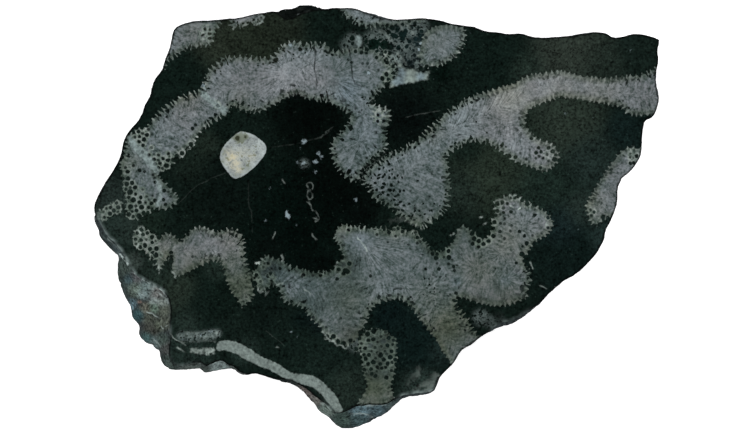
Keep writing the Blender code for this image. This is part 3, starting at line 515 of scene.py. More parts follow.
# Thin pale lines: (strength, half width, points)
PALE_LINES = [
    (0.035, 0.6, [(248, 180), (248, 192), (248.5, 205), (251, 211), (251.5, 222), (252, 233)]),
    (0.035, 0.6, [(176, 205), (185, 196), (195, 186), (205, 181), (215, 176), (226, 172)]),
    (0.04, 0.6, [(270, 147), (283, 145), (297, 143), (304, 141), (318, 137), (330, 131)]),
    (0.08, 0.6, [(405, 117), (416, 114), (428, 112), (440, 110)]),
    (0.06, 0.6, [(265, 330), (275, 338), (285, 346)]),
    (0.42, 0.7, [(168, 331), (174, 338), (181, 342), (186, 345)]),
    (0.5, 0.8, [(176, 346), (182, 350), (190, 357)]),
    (0.34, 0.7, [(308, 188), (306, 184), (310, 182), (312.5, 185), (311.5, 189), (308, 190)]),
    (0.34, 0.7, [(308, 190), (306.5, 195), (309, 199), (312, 196), (311, 190)]),
    (0.34, 0.8, [(306, 201), (310, 204), (311, 209), (315, 211), (318, 216), (318, 219), (314, 222)]),
    (0.3, 0.7, [(312, 217.5), (317, 218)]),
    (0.42, 0.7, [(275.5, 231.5), (273.5, 235), (271.5, 239.5)]),
    (0.3, 0.8, [(281, 178), (283, 181), (285, 184)]),
    (0.1, 0.8, [(320, 137), (326, 131), (334, 126)]),
    (0.3, 0.9, [(311.5, 233), (313.5, 236.5), (317, 240)]),
    (0.5, 0.8, [(530, 261), (531, 265), (533.5, 269.5)]),
    (0.55, 0.8, [(538, 285), (542, 286), (546.5, 288.8)]),
    (0.9, 1.0, [(479, 217.5), (481, 216.3), (483, 216)]),
    (0.9, 1.0, [(482.5, 224.5), (484.5, 223.2), (487, 222.5)]),
    (0.8, 1.0, [(450, 235), (452, 233.8), (454, 232.5)]),
    (1.3, 0.9, [(510, 204.5), (511, 206.5), (513.5, 207.5)]),
    (1.3, 0.9, [(517, 209), (519, 208), (520.5, 206)]),
    (1.5, 1.2, [(254.5, 262.5), (257, 262.5), (260, 262)]),
    (0.7, 1.0, [(258, 286), (258, 290), (260.5, 292), (263, 290)]),
    (0.6, 1.0, [(268, 290), (266, 293), (264, 296)]),
    (0.6, 0.9, [(281, 254), (282.5, 258), (281.5, 262)]),
    (0.6, 0.8, [(337, 261), (335, 266), (334, 271)]),
    (0.6, 0.8, [(510, 194), (512, 196.5), (514.5, 194), (516.5, 195)]),
    (0.6, 0.8, [(521.5, 195.5), (519.5, 198), (518, 201)]),
    (0.5, 0.9, [(322, 330), (325, 335), (330, 340), (334, 340), (336, 345), (341, 344)]),
    (0.45, 0.9, [(341, 344), (345, 348), (348, 345), (347, 340)]),
    (0.7, 0.9, [(545, 225), (546, 222.5), (549, 222)]),
    (0.7, 0.8, [(157.5, 262), (158.5, 267), (158.5, 273.5)]),
    (0.6, 0.8, [(152, 263), (154, 265.5), (157, 262)]),
    (0.5, 0.9, [(171, 271), (174, 273), (175, 278.5)]),
    (0.7, 1.0, [(136.5, 228.5), (138.5, 230.5), (141, 233)]),
    (0.6, 0.9, [(138.5, 226.5), (142, 226), (144, 229.5)]),
    (0.6, 0.9, [(138.5, 243), (137, 246), (136, 248)]),
    (0.13, 3.4, [(408, 386), (414, 376), (421, 366)]),
    (0.22, 4.4, [(412, 391), (422, 386), (434, 380)]),
    (0.2, 4.2, [(424, 390), (431, 383), (437, 372)]),
    (0.1, 3.0, [(388, 222), (400, 219), (412, 221), (424, 227)]),
    (0.1, 3.4, [(176, 334), (190, 336), (204, 336), (218, 334)]),
    (0.78, 3.4, [(190, 350.5), (196, 351), (204, 350), (214, 349)]),
    (0.16, 1.0, [(182, 340), (194, 341), (206, 340), (216, 341)]),
    (0.16, 1.0, [(180, 331), (194, 332), (206, 331), (217, 330)]),
    (0.6, 1.2, [(216, 331), (217.5, 333), (217, 336)]),
    (0.7, 0.9, [(357, 237), (361, 242), (366, 248), (367, 252)]),
    (0.8, 0.9, [(118, 252), (122, 257), (127, 263)]),
    (0.4, 0.9, [(98, 228), (103, 236), (109, 243)]),
    (0.4, 1.6, [(396, 51), (399, 56), (403, 60), (405, 66)]),
    (0.34, 1.2, [(391, 54), (395, 60), (399, 66)]),
    (0.3, 1.2, [(407, 24), (411, 30), (414, 36)]),
    (0.26, 1.4, [(397, 23), (401, 27), (401, 31)]),
    (0.24, 1.4, [(378, 30), (386, 34), (391, 41), (396, 44)]),
    (0.6, 1.0, [(255, 24), (260, 22), (263, 18), (261, 14)]),
    (0.2, 1.0, [(301, 13), (305, 11.5), (310, 10)]),
    (0.4, 1.0, [(275, 284.5), (281, 283), (287, 281)]),
    (0.35, 0.9, [(303, 288), (307, 291), (311, 294)]),
    (0.3, 0.9, [(275, 346), (279, 347)]),
]
# Thin dark lines in the coral
DARK_LINES = [
    (0.7, 1.3, [(375, 365.5), (379, 367.5), (383, 367.5), (389, 365)]),
    (0.75, 0.8, [(314, 45), (315, 56), (314, 68), (316.5, 80), (315, 90)]),
    (0.8, 0.9, [(349, 48), (350, 58), (351.5, 68), (352, 77), (356, 83), (363, 87)]),
    (0.9, 1.2, [(293, 90), (295.5, 95), (297.5, 101)]),
    (0.8, 1.0, [(326, 90), (327.5, 96), (328, 102)]),
    (0.5, 0.8, [(331, 78), (341, 80), (352, 84)]),
    (0.5, 0.9, [(331, 79), (341, 85), (350, 92)]),
    (0.4, 0.8, [(330, 80), (337, 88), (342, 96)]),
    (0.35, 0.8, [(329, 80), (332, 88), (334, 97)]),
    (0.8, 1.2, [(358, 172), (366, 165), (376, 158), (388, 150)]),
    (0.6, 0.9, [(368, 147), (375, 146), (382, 147)]),
    (0.35, 0.8, [(325, 66), (335, 71), (345, 75)]),
]

# Tints of the broken side, seen from above: its own greys and stains together with painted light and
# shade of its facets: (x, y, radius, colour)
BROKEN_TINTS_AND_SHADE = [
    (105, 242, 8, (46, 56, 56)), (115, 252, 7, (62, 72, 74)), (122, 268, 9, (64, 75, 71)),
    (121, 285, 7, (60, 71, 70)), (128, 279, 5, (62, 82, 87)), (136, 277, 6, (90, 92, 94)),
    (134, 289, 7, (98, 112, 104)), (146, 288, 8, (112, 129, 128)), (155, 292, 6, (122, 124, 122)),
    (141, 294, 4, (132, 150, 150)), (138.5, 301.5, 1.6, (112, 94, 86)),
    (145, 308, 5, (104, 106, 96)), (130, 306, 3, (104, 126, 134)), (153, 301, 4, (132, 144, 142)),
    (161, 302, 5, (126, 136, 131)), (153, 307, 5, (96, 116, 104)), (163, 310, 6, (82, 88, 79)),
    (164, 322, 6, (90, 96, 87)), (131, 303, 4, (80, 100, 107)), (137, 315, 5, (60, 88, 92)),
    (148, 318, 6, (76, 81, 73)), (150, 329, 7, (68, 70, 65)), (158, 325, 5, (92, 100, 88)),
    (146, 337, 5, (68, 94, 94)), (154, 342, 5, (100, 114, 114)), (161, 340, 6, (70, 83, 78)),
    (166, 348, 6, (76, 78, 77)), (170, 362, 8, (70, 82, 78)), (190, 366, 9, (84, 92, 89)),
    (205, 369, 6, (66, 74, 71)), (218, 366, 8, (124, 138, 137)), (235, 364, 5, (78, 86, 82)),
    (246, 372, 7, (104, 108, 106)), (262, 376, 8, (44, 50, 48)), (285, 382, 12, (30, 36, 34)),
    (306, 390, 8, (94, 88, 85)), (316, 399, 6, (102, 102, 98)), (326, 409, 7, (106, 120, 114)),
    (342, 420, 8, (62, 78, 73)), (358, 419, 7, (72, 92, 94)), (360, 409, 8, (98, 122, 130)),
    # From (290, 12) on, the black and near-black tints are painted shadow on the chips along the top
    # edge
    (378, 407, 8, (78, 98, 104)), (392, 406, 8, (62, 74, 74)), (290, 12, 14, (0, 0, 0)),
    (304, 8, 12, (0, 0, 0)), (275, 12, 9, (4, 5, 5)), (322, 8, 9, (4, 5, 5)),
    (380, 16, 20, (9, 11, 10)), (430, 20, 20, (6, 8, 7)), (640, 38, 20, (16, 22, 22)),
]
BROKEN_REST = (50, 56, 58)
# Thin pale veins in the broken side
BROKEN_LINES = [
    (0.55, 0.7, [(145, 311), (148.5, 313), (150.5, 312.5), (153.5, 315), (158.5, 318)]),
    (0.5, 0.6, [(160, 325), (162.5, 328.5), (165, 326), (168, 324.5)]),
    (0.35, 0.9, [(155, 299), (158, 302), (161, 304)]),
    (0.4, 0.9, [(157, 301), (161, 300), (165, 302)]),
    (0.35, 0.9, [(139, 291), (142, 294), (144, 297)]),
    (0.4, 1.0, [(350, 414.5), (359, 413), (366, 414), (373, 418)]),
    (0.3, 1.2, [(346, 409), (356, 405.5), (368, 404.5), (386, 404)]),
    (0.4, 0.8, [(152, 339), (157, 343), (162, 349)]),
    (0.4, 0.8, [(320, 402), (326, 405), (331, 411)]),
    (0.2, 0.8, [(106, 236), (112, 243), (119, 249)]),
    (1.3, 1.0, [(119, 253), (123, 258), (128.5, 264.5)]),
    (1.2, 0.8, [(134, 271.5), (140, 277), (147, 281.5), (156, 285.5), (162, 290)]),
    (0.6, 0.7, [(150, 288), (158, 292), (164, 297), (168, 303)]),
    (0.5, 0.8, [(161, 289), (165, 295), (168, 303)]),
    (0.35, 0.8, [(146, 285), (151, 287), (157, 286.5)]),
    (0.12, 1.0, [(297, 14), (303, 13), (309, 11)]),
]
# Where the polished face's edge is bruised pale; elsewhere painted shade makes it darker than the
# face
RIM_PALE = [
    (97, 222, 8, 0.7), (103, 232, 8, 0.9), (110, 242, 8, 0.9), (118, 249, 7, 0.9),
    (125, 259, 6, 1.3), (134, 272, 6, 0.7), (142, 280, 7, 0.9), (152, 286, 7, 1.0),
    (161, 290, 5, 1.0), (166, 330, 8, 0.4), (330, 408, 8, 0.5), (180, 362, 12, 0.4),
    (405, 396, 7, 0.7), (418, 393, 8, 0.8), (430, 391, 7, 0.6), (522, 312, 7, 0.3),
    (514, 317, 7, 0.3), (505, 321, 7, 0.35), (496, 326, 6, 0.5),
]

# Where the broken side stands out a little more: (x, y, radius, mm)
BULGES = [
    (135, 315, 12, 0.45), (143, 337, 8, 0.4), (153, 348, 6, 0.3), (163, 362, 8, 0.35),
    (126, 296, 8, 0.25), (284, 12, 7, 0.45), (96, 220, 6, 0.25), (104, 236, 6, 0.15),
    (320, 408, 8, 0.2), (335, 420, 8, 0.2), (385, 412, 8, 0.2), (200, 368, 10, 0.2),
]

# How a round patch falls off: the power of the distance from its middle, and how steeply
SOFT = (2, 1.2)
FIRM = (4, 1.1)
# The patches that are stored on the stone under a name: the way each falls off, and how they join
PATCHES = {
    "honeycomb": (HONEYCOMB, FIRM, np.maximum),
    "pores": (PORES, SOFT, np.maximum),
    "calm": (CALM, SOFT, np.maximum),
    "clear_fibres": (CLEAR_FIBRES, SOFT, np.maximum),
    "coral_light": (CORAL_LIGHT, SOFT, np.add),
    "olive": (CORAL_OLIVE, SOFT, np.maximum),
    "bright_teeth": (BRIGHT_TEETH, SOFT, np.maximum),
    "ghost_comb": (GHOST_COMB, FIRM, np.maximum),
    "specks": (SPECKS, SOFT, np.maximum),
    "patch_stain": (PATCH_STAIN, SOFT, np.maximum),
    "patch_spots": (PATCH_SPOTS, SOFT, np.maximum),
    "rim_pale": (RIM_PALE, SOFT, np.maximum),
}
# A tint's share falls faster than a patch's, and the rest of the stone has this share everywhere
TINT_POWER = 1.5
REST_SHARE = 0.10

SLAB_THICKNESS_MM = 14.0
# The chips along the polished face's edge; the higher their share is, the more of it is chipped
RIM_CHIP_MM = 1.3
RIM_CHIP_DEPTH_MM = 0.22
RIM_CHIP_SHARE = 0.15
# The facets and the grain of the broken side; a facet of middle height keeps to the solid's side
FACET_MM = 2.6
FACET_DEPTH_MM = 0.22
FACET_MIDDLE = 1.9
FACET_MOST = 2.0
# How fast the facets' noise gets weaker and finer from octave to octave, and how many there are
FACET_OCTAVES = (0.9, 2.1, 4)
GRAIN_MM = 0.9
GRAIN_DEPTH_MM = 0.07
FINER_GRAIN = 2.3
# Both fade out this near to the two flat faces
SIDE_FADE_MM = 0.8

# How far the coral's branches drift for each mm below the polished face, and how they wind there
BRANCH_SLANT = (0.28, -0.17)
BRANCH_TURNS = (0.55, 0.2, 0.47)
BRANCH_WAVE_MM = 0.45
BRANCH_WAVE_START_MM = 3.0

# The coral's pattern: the spacing of its tubes and pores, and how long tubes cut sideways are
TUBE_SPACING_MM = 0.90
TUBE_LENGTH_MM = 1.7
HONEYCOMB_SPACING_MM = 1.18
PORE_SPACING_MM = 0.92
# The shortest notch between two teeth, how much longer others are, and how pointed they are
NOTCH_MM = 0.12
NOTCH_LONGER_MM = 1.05
NOTCH_POINT = (2.7, 1.25)
TOOTH_MM = 0.40
CALM_TOOTH_MM = 0.26
BORDER_SHIFT_MM = 0.15
# Half the width of the soft edge at the coral's border, and at the edge of a cell
EDGE_MM = 0.08
CELL_EDGE = 0.05
# How far in the short slots behind the border begin, and where they end
SLOTS_FROM_MM = (0.3, 0.8)
SLOTS_TO_MM = (2.4, 1.6)

# How many rays the fan at a spine's end has
FAN_RAYS = 7.0
# Each spine and star has its own stretch of the fibres' noise, and a star's turn counts there as mm
SPINE_GAP_MM = 60.0
STAR_MM = 7.0
# A star's reach all round, and how much longer it is at its fan's middle and shorter behind it
STAR_SHAPE = (0.55, 0.45)
# How the fibres bend with depth at the border, and how fine they are across and along themselves
FIBRE_BEND = 0.22
FIBRE_SCALE = (2.2, 0.42)
# What stretches noise that lies round 0 so that it runs mostly from -1 to 1
MOTTLE_SPAN = 3.4

# A stored number jumps where it changes by more than this between two points of the mesh, or by
# more than this share of the way between them
JUMP_MM = 1.2
JUMP_SHARE = 1.4
# A thin line reaches this far to each side, or this many of its half widths if that is more, and
# the offset from it is stored up to a limit, in half widths too
LINE_REACH_MM = 0.5
LINE_REACH = 1.8
LINE_LIMIT = 8.0
# The depths in the coral and in the veins that are stored, and the distances from the face's edge
CORAL_DEPTHS_MM = (-4.0, 8.0)
VEIN_DEPTHS_MM = (-2.0, 4.0)
RIM_REACH_MM = 2.0
# A mesh face belongs to a flat face of the slab if it is this level and this near in height
FLAT_SLOPE = 0.999
SAME_HEIGHT_MM = 0.02

# Display colours out of 255
CORAL_GREY = (96, 107, 110)
CORAL_RIM_GREY = (84, 96, 92)
CORAL_OLIVE_GREY = (90, 97, 82)
TOOTH = (168, 175, 171)
TUBE_WALL = (128, 138, 131)
STREAK_COLOUR = (128, 143, 142)
BAND_COLOUR = (117, 129, 125)
PATCH_COLOUR = (158, 167, 166)
WEDGE_COLOUR = (117, 128, 121)
WEDGE_BLUE = (112, 128, 133)
PATCH_GREY = (100, 103, 93)
PATCH_TAN = (206, 199, 170)
PATCH_BROWN = (46, 50, 36)
PATCH_CAP = (104, 112, 92)
PATCH_EDGE = (176, 188, 190)
SAWN_GREY = (74, 78, 80)
GHOST_COLOUR = (118, 132, 130)
MUD = (12, 18, 16)
DUST = (84, 94, 88)
# The near-black of the painted shade along the polished face's edge
RIM_PAINTED_SHADE = (5, 6, 6)
BRUISE = (126, 142, 140)
BROKEN_VEIN = (168, 182, 180)
PALE_LINE = (176, 190, 184)
SPECK_COLOUR = (138, 154, 160)
# What the coral's colour is multiplied by where it is warmer, and in its darker parts
CORAL_WARM = (1.10, 0.99, 0.98)
CORAL_SHADE = (0.84, 0.98, 0.89)

# The order of the three finishes, and their roughness and bumps
POLISHED, BROKEN, SAWN = range(3)
POLISHED_ROUGHNESS = 0.13
CORAL_ROUGHER = 0.05
BRUISE_ROUGHER = 0.4
BROKEN_ROUGHNESS = 0.86
SAWN_ROUGHNESS = 0.62
BROKEN_GLOSS = 0.0
BROKEN_BUMP_MM = 0.4
# Painted shade: how light the broken side's colour is made where it is steep, against 1 where it
# faces up
STEEP_PAINTED_SHADE = 0.35
SAW_MARK_MM = 0.1
# The way across the saw marks, how close they are, and how little they change along themselves
SAW_ACROSS = (0.35, 0.94)
SAW_MARKS_PER_MM = 2.2
SAW_MARK_LENGTH = 0.02

# The studio, in metres: its floor, its sky as stops from the horizon up, its camera and its lamps
FLOOR_SIZE = 3.0
FLOOR_GAP = 0.0001
FLOOR_GLOW = 0.6
FLOOR_COLOUR = (0.93, 0.93, 0.93)
FLOOR_ROUGHNESS = 0.9
WHITE = (1.0, 1.0, 1.0, 1.0)
SKY = [(0.45, (0.95, 0.95, 0.95, 1.0)), (0.93, (0.006, 0.006, 0.006, 1.0))]
CAMERA_LENS = 500.0
CAMERA_REACH = 20.0
SENSOR_WIDTH = 36.0
LIGHT_DISTANCE = 0.9
LIGHT_SIZE = 0.40
# Each lamp: name, the side it stands on in degrees, its height in degrees, and its watts
LIGHTS = [
    ("lamp_back_left", -145.0, 55.0, 2.4),
    ("lamp_left", -70.0, 53.0, 1.8),
    ("lamp_back_right", 130.0, 55.0, 2.0),
    ("lamp_front_right", 35.0, 53.0, 1.6),
]
# How strongly the polished face is lit: a white there would be this bright in the picture
EXPOSURE = 1.25


def operator(operation, flip=False):
    """A Python operator of a value, which adds a Math node."""

    def apply(value, *others):
        terms = (value, *others)
        return value.graph.maths(operation, *(reversed(terms) if flip else terms))

    return apply


class Value:
    """A number over the surface: a socket whose Python operators add Math nodes."""

    def __init__(self, graph, socket):
        self.graph = graph
        self.socket = socket

    __add__ = __radd__ = operator("ADD")
    __sub__ = operator("SUBTRACT")
    __rsub__ = operator("SUBTRACT", flip=True)
    __mul__ = __rmul__ = operator("MULTIPLY")
    __truediv__ = operator("DIVIDE")
    __rtruediv__ = operator("DIVIDE", flip=True)
    power = operator("POWER")
    highest = operator("MAXIMUM")
    lowest = operator("MINIMUM")
    size = operator("ABSOLUTE")

    def rise(self, low, high):
        """0 below low and 1 above high, with a smooth step between; falls where low > high."""
        if low > high:
            return 1 - self.rise(high, low)
        values = {"Value": self, "From Min": low, "From Max": high}
        return self.graph.node("ShaderNodeMapRange", {"interpolation_type": "SMOOTHSTEP"}, values)

    def other(self, name):
        """Another output of the same node."""
        return Value(self.graph, picked(self.socket.node.outputs, name))


def picked(sockets, name):
    """A node's socket by its identifier, or else by its name or number."""
    known = {socket.identifier: socket for socket in sockets}
    return known[name] if name in known else sockets[name]


class Graph:
    """The nodes of one material, or of the sky."""

    def __init__(self, owner):
        owner.use_nodes = True
        self.owner = owner
        self.tree = owner.node_tree
        self.tree.nodes.clear()

    def node(self, kind, settings=None, values=None, out=0):
        """A node with its settings made first, then its sockets; gives one output as a Value."""
        made = self.tree.nodes.new(kind)
        for name, setting in (settings or {}).items():
            if name == "color_ramp":
                for stop, (position, colour) in zip(made.color_ramp.elements, setting):
                    stop.position = position
                    stop.color = colour
            else:
                setattr(made, name, setting)
        for name, value in (values or {}).items():
            socket = picked(made.inputs, name)
            if isinstance(value, Value):
                self.tree.links.new(value.socket, socket)
            else:
                socket.default_value = value
        return Value(self, picked(made.outputs, out)) if made.outputs else made

    def maths(self, operation, *terms):
        return self.node("ShaderNodeMath", {"operation": operation}, dict(enumerate(terms)))

    def vector_maths(self, operation, values):
        return self.node("ShaderNodeVectorMath", {"operation": operation}, values)

    def attribute(self, name, out="Fac"):
        """What is stored on the mesh under a name: a number, or else its Vector or Color."""
        return self.node("ShaderNodeAttribute", {"attribute_name": name}, out=out)

    def place(self):
        """The place on the object, in metres."""
        return self.node("ShaderNodeTexCoord", out="Object")

    def vector(self, x, y, z=0.0):
        return self.node("ShaderNodeCombineXYZ", values={"X": x, "Y": y, "Z": z})

    def parts(self, vector):
        """The x, y and z of a vector."""
        split = self.node("ShaderNodeSeparateXYZ", values={"Vector": vector})
        return [split, split.other("Y"), split.other("Z")]

    def noise(self, place, scale, detail=2.0, roughness=0.5, turn=None):
        """Noise from 0 to 1; a turn, the fourth coordinate, changes it without a place."""
        values = {"Vector": place, "Scale": scale, "Detail": detail, "Roughness": roughness}
        if turn is not None:
            values["W"] = turn
        settings = {"noise_dimensions": "3D" if turn is None else "4D"}
        return self.node("ShaderNodeTexNoise", settings, values)

    def cells(self, place, scale=1.0, irregular=1.0, dimensions="2D"):
        """How far a point is from its cell's edge and middle, and a number of the cell's own."""
        across = "W" if dimensions == "1D" else "Vector"
        values = {across: place, "Scale": scale, "Randomness": irregular}
        edge, middle = [
            self.node(
                "ShaderNodeTexVoronoi",
                {"voronoi_dimensions": dimensions, "feature": feature},
                values,
            )
            for feature in ("DISTANCE_TO_EDGE", "F1")
        ]
        chance = self.node("ShaderNodeSeparateColor", values={"Color": middle.other("Color")})
        return edge, middle, chance

    def blend(self, share, below, above):
        """The colour below where share is 0 and the colour above where it is 1.

        A colour is a Value, or a display colour out of 255."""
        below, above = [
            (*linear(colour), 1.0) if isinstance(colour, tuple) else colour
            for colour in (below, above)
        ]
        values = {"Factor_Float": share, "A_Color": below, "B_Color": above}
        settings = {"data_type": "RGBA", "clamp_factor": True}
        return self.node("ShaderNodeMix", settings, values, out="Result_Color")

    def scaled(self, vector, factor):
        """A place further out, or a colour made lighter or darker, by a number."""
        return self.vector_maths("SCALE", {0: vector, "Scale": factor})

    def tint(self, colour, factors):
        """A colour multiplied by a colour."""
        return self.vector_maths("MULTIPLY", {0: colour, 1: factors})

    def bump(self, strength, distance_mm, height):
        values = {"Strength": strength, "Distance": distance_mm * MM, "Height": height}
        return self.node("ShaderNodeBump", values=values)

    def finished(self, **values):
        """The finished material, from the values of its surface shader."""
        names = {name.replace("_", " "): value for name, value in values.items()}
        surface = self.node("ShaderNodeBsdfPrincipled", values=names)
        self.node("ShaderNodeOutputMaterial", values={"Surface": surface})
        return self.owner


def linear(colour):
    """A display colour out of 255 as the linear colour that a shader takes."""
    shares = [part / 255 for part in colour]
    seen = [part / 12.92 if part <= 0.04045 else ((part + 0.055) / 1.055) ** 2.4 for part in shares]
    return [part / EXPOSURE for part in seen]


def to_mm(points):
    """Pixels of the photograph as millimetres of the slab's plan."""
    points = np.asarray(points, float)
    x = (points[..., 0] - SLAB_MIDDLE[0]) * PIXEL_MM
    y = (SLAB_MIDDLE[1] - points[..., 1]) * PIXEL_MM
    return np.stack([x, y], axis=-1)


def smooth_curve(corners, closed=True):
    """A smooth curve through the corners, as points that stand close together."""
    corners = to_mm(corners)
    if closed:
        around = np.concatenate([corners[-1:], corners, corners[:2]])
    else:
        first = 2 * corners[0] - corners[1]
        last = 2 * corners[-1] - corners[-2]
        around = np.concatenate([[first], corners, [last]])
    pieces = []
    for a, b, c, d in zip(around, around[1:], around[2:], around[3:]):
        count = max(2, math.ceil(np.linalg.norm(c - b) / CURVE_STEP_MM))
        t = (np.arange(count) / count)[:, None]
        straight = 2 * b + (c - a) * t
        square = (2 * a - 5 * b + 4 * c - d) * t**2
        cube = (3 * b - a - 3 * c + d) * t**3
        pieces.append(0.5 * (straight + square + cube))
    return np.concatenate(pieces)


def unit(vectors):
    return vectors / np.linalg.norm(vectors, axis=1)[:, None]


def left_of(tangents):
    return np.stack([-tangents[:, 1], tangents[:, 0]], axis=1)


def joined(curves):
    """The arrays that each curve gives for its points, run together over all the curves."""
    return [np.concatenate(arrays) for arrays in zip(*curves)]


def search_tree(places):
    """A tree that finds the nearest of some places, in the plan or in space."""
    tree = kdtree.KDTree(len(places))
    for i, place in enumerate(places):
        tree.insert((*place, 0.0)[:3], i)
    tree.balance()
    return tree


def nearest_places(places, points):
    """Which of the places is nearest to each point, and how far away it is."""
    tree = search_tree(places)
    found = [tree.find((*point, 0.0)[:3]) for point in points]
    return np.array([i for _, i, _ in found]), np.array([far for _, _, far in found])


def side_distances(places, sideways, points):
    """The nearest place to each point, and how far it is, below 0 on its other side."""
    nearest, distance = nearest_places(places, points)
    side = np.sum((points - places[nearest]) * sideways[nearest], axis=1)
    return nearest, np.where(side >= 0, distance, -distance)


def outline_depths(outlines, points):
    """How deep each point lies inside the outlines, below 0 outside, and where along them."""
    curves = []
    for corners in outlines:
        curve = smooth_curve(corners)
        following = np.roll(curve, -1, axis=0)
        lengths = np.linalg.norm(following - curve, axis=1)
        x, y = curve.T
        area = np.sum(x * np.roll(y, -1) - y * np.roll(x, -1))
        inward = left_of(unit(following - np.roll(curve, 1, axis=0)))
        curves.append((curve, inward if area > 0 else -inward, np.cumsum(lengths) - lengths))
    places, inward, along = joined(curves)
    nearest, depth = side_distances(places, inward, points)
    return depth, along[nearest]


def fibre_courses(points):
    """Where the fibre of each point starts along its spine, and how it leans from there.

    Then the way that it runs, and how far the point is from the spine."""
    curves = []
    for i, (lean, corners) in enumerate(SPINES):
        curve = smooth_curve(corners, closed=False)
        steps = np.linalg.norm(np.diff(curve, axis=0), axis=1)
        along = SPINE_GAP_MM * i + np.concatenate([[0.0], np.cumsum(steps)])
        tangents = unit(np.gradient(curve, axis=0))
        curves.append((curve, tangents, along, np.full(len(curve), lean)))
    places, tangents, along, leans = joined(curves)
    nearest, distance = nearest_places(places, points)
    way = (points - places[nearest]) / np.maximum(distance, SAME_POINT)[:, None]
    start = along[nearest]
    beside = 1 - np.sum(way * tangents[nearest], axis=1) ** 2
    fibre = start - leans[nearest] * 2 * np.sqrt(distance) * beside
    for i, (x, y, radius, turn) in enumerate(STARS):
        right, up = (points - to_mm((x, y))).T
        angle = (np.arctan2(up, right) - math.radians(turn) + math.pi) % math.tau - math.pi
        far = np.hypot(right, up)
        fan = far < radius * PIXEL_MM * (STAR_SHAPE[0] + STAR_SHAPE[1] * np.cos(angle))
        start[fan] = fibre[fan] = SPINE_GAP_MM * (i - len(STARS)) + STAR_MM * angle[fan]
        way[fan] = 0.0
        distance[fan] = far[fan]
    return start, fibre, way, distance


def patch_share(points, x, y, radius, fall=SOFT):
    """1 in the middle of a round patch, and less with the distance from it."""
    power, steepness = fall
    far = np.linalg.norm(points - to_mm((x, y)), axis=1) / (radius * PIXEL_MM)
    return np.exp(-(far**power) * steepness)


def patch_strengths(points, patches, fall=SOFT, join=np.maximum):
    """The strongest of the round patches at each point, or their sum if they join by addition."""
    strengths = np.zeros(len(points))
    for x, y, radius, strength in patches:
        strengths = join(strengths, strength * patch_share(points, x, y, radius, fall))
    return strengths


def tinted_patches(points, patches, rest):
    """Colours of the patches, mixed by nearness over a colour for the rest."""
    weights = [np.full(len(points), REST_SHARE)]
    colours = [linear(rest)]
    for x, y, radius, colour in patches:
        weights.append(patch_share(points, x, y, radius) ** TINT_POWER)
        colours.append(linear(colour))
    weights = np.array(weights)
    return (weights.T @ np.array(colours)) / weights.sum(axis=0)[:, None]


def tube_depths(points):
    """How deep each point lies inside the nearest open tube, below 0 outside them, in mm.

    Two tubes that stand side by side keep a wall between them, and two that overlap are one slot.
    It also gives how dark the tube is: the small ones are paler."""
    deepest = np.full(len(points), -TUBE_REACH_MM)
    second = deepest.copy()
    found = np.zeros(len(points), int)
    other = np.zeros(len(points), int)
    for i, (x, y, radius) in enumerate(TUBES):
        depth = radius * PIXEL_MM - np.linalg.norm(points - to_mm((x, y)), axis=1)
        nearer = depth > deepest
        later = ~nearer & (depth > second)
        second[nearer], other[nearer] = deepest[nearer], found[nearer]
        deepest[nearer], found[nearer] = depth[nearer], i
        second[later], other[later] = depth[later], i
    rounds = np.array(TUBES)
    apart = np.linalg.norm(rounds[found, :2] - rounds[other, :2], axis=1)
    walled = apart > SLOT_SHARE * (rounds[found, 2] + rounds[other, 2])
    between = (deepest - second) / 2 - HALF_WALL_MM
    depth = np.where(walled, np.minimum(deepest, between), deepest)
    return depth, np.minimum(1.0, rounds[found, 2] / DARK_RADIUS)


def open_side(node):
    """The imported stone's side as a mesh of finer faces, open at the polished face and below."""
    side = bmesh.new()
    side.from_mesh(node.data)
    bmesh.ops.remove_doubles(side, verts=side.verts, dist=SAME_POINT)
    top = max(vert.co.z for vert in side.verts)
    caps = []
    for face in side.faces:
        heights = [vert.co.z for vert in face.verts]
        if min(heights) > top - RIM_TOLERANCE or max(heights) < RIM_TOLERANCE:
            caps.append(face)
    bmesh.ops.delete(side, geom=caps, context="FACES")
    bmesh.ops.subdivide_edges(side, edges=side.edges[:], cuts=SIDE_CUTS, use_grid_fill=True)
    return side, top


def fine_points(rounds):
    """Points of a fine grid in and around the rounds, in metres."""
    rise = FINE_GRID_MM * ROW_SHARE
    spots = set()
    for x, y, radius in rounds:
        right, up = to_mm((x, y))
        reach = radius * PIXEL_MM + FINE_REACH_MM
        for row in range(math.ceil((up - reach) / rise), math.floor((up + reach) / rise) + 1):
            shift = row % 2 / 2
            half = math.sqrt(max(0.0, reach**2 - (row * rise - up) ** 2))
            first = math.ceil((right - half) / FINE_GRID_MM - shift)
            last = math.floor((right + half) / FINE_GRID_MM - shift)
            spots.update((column + shift, row) for column in range(first, last + 1))
    return [Vector((x * FINE_GRID_MM * MM, row * rise * MM)) for x, row in sorted(spots)]


def grid_points(low, high, spacing, kept):
    """Points of a grid of triangles between two corners, with room left for the kept points."""
    tree = search_tree(kept)
    for row, y in enumerate(np.arange(low[1], high[1], spacing * ROW_SHARE)):
        shift = spacing / 2 * (row % 2)
        for x in np.arange(low[0] + shift, high[0], spacing):
            if not kept or tree.find((x, y, 0.0))[2] > FINE_GAP_MM * MM:
                yield Vector((x, y))


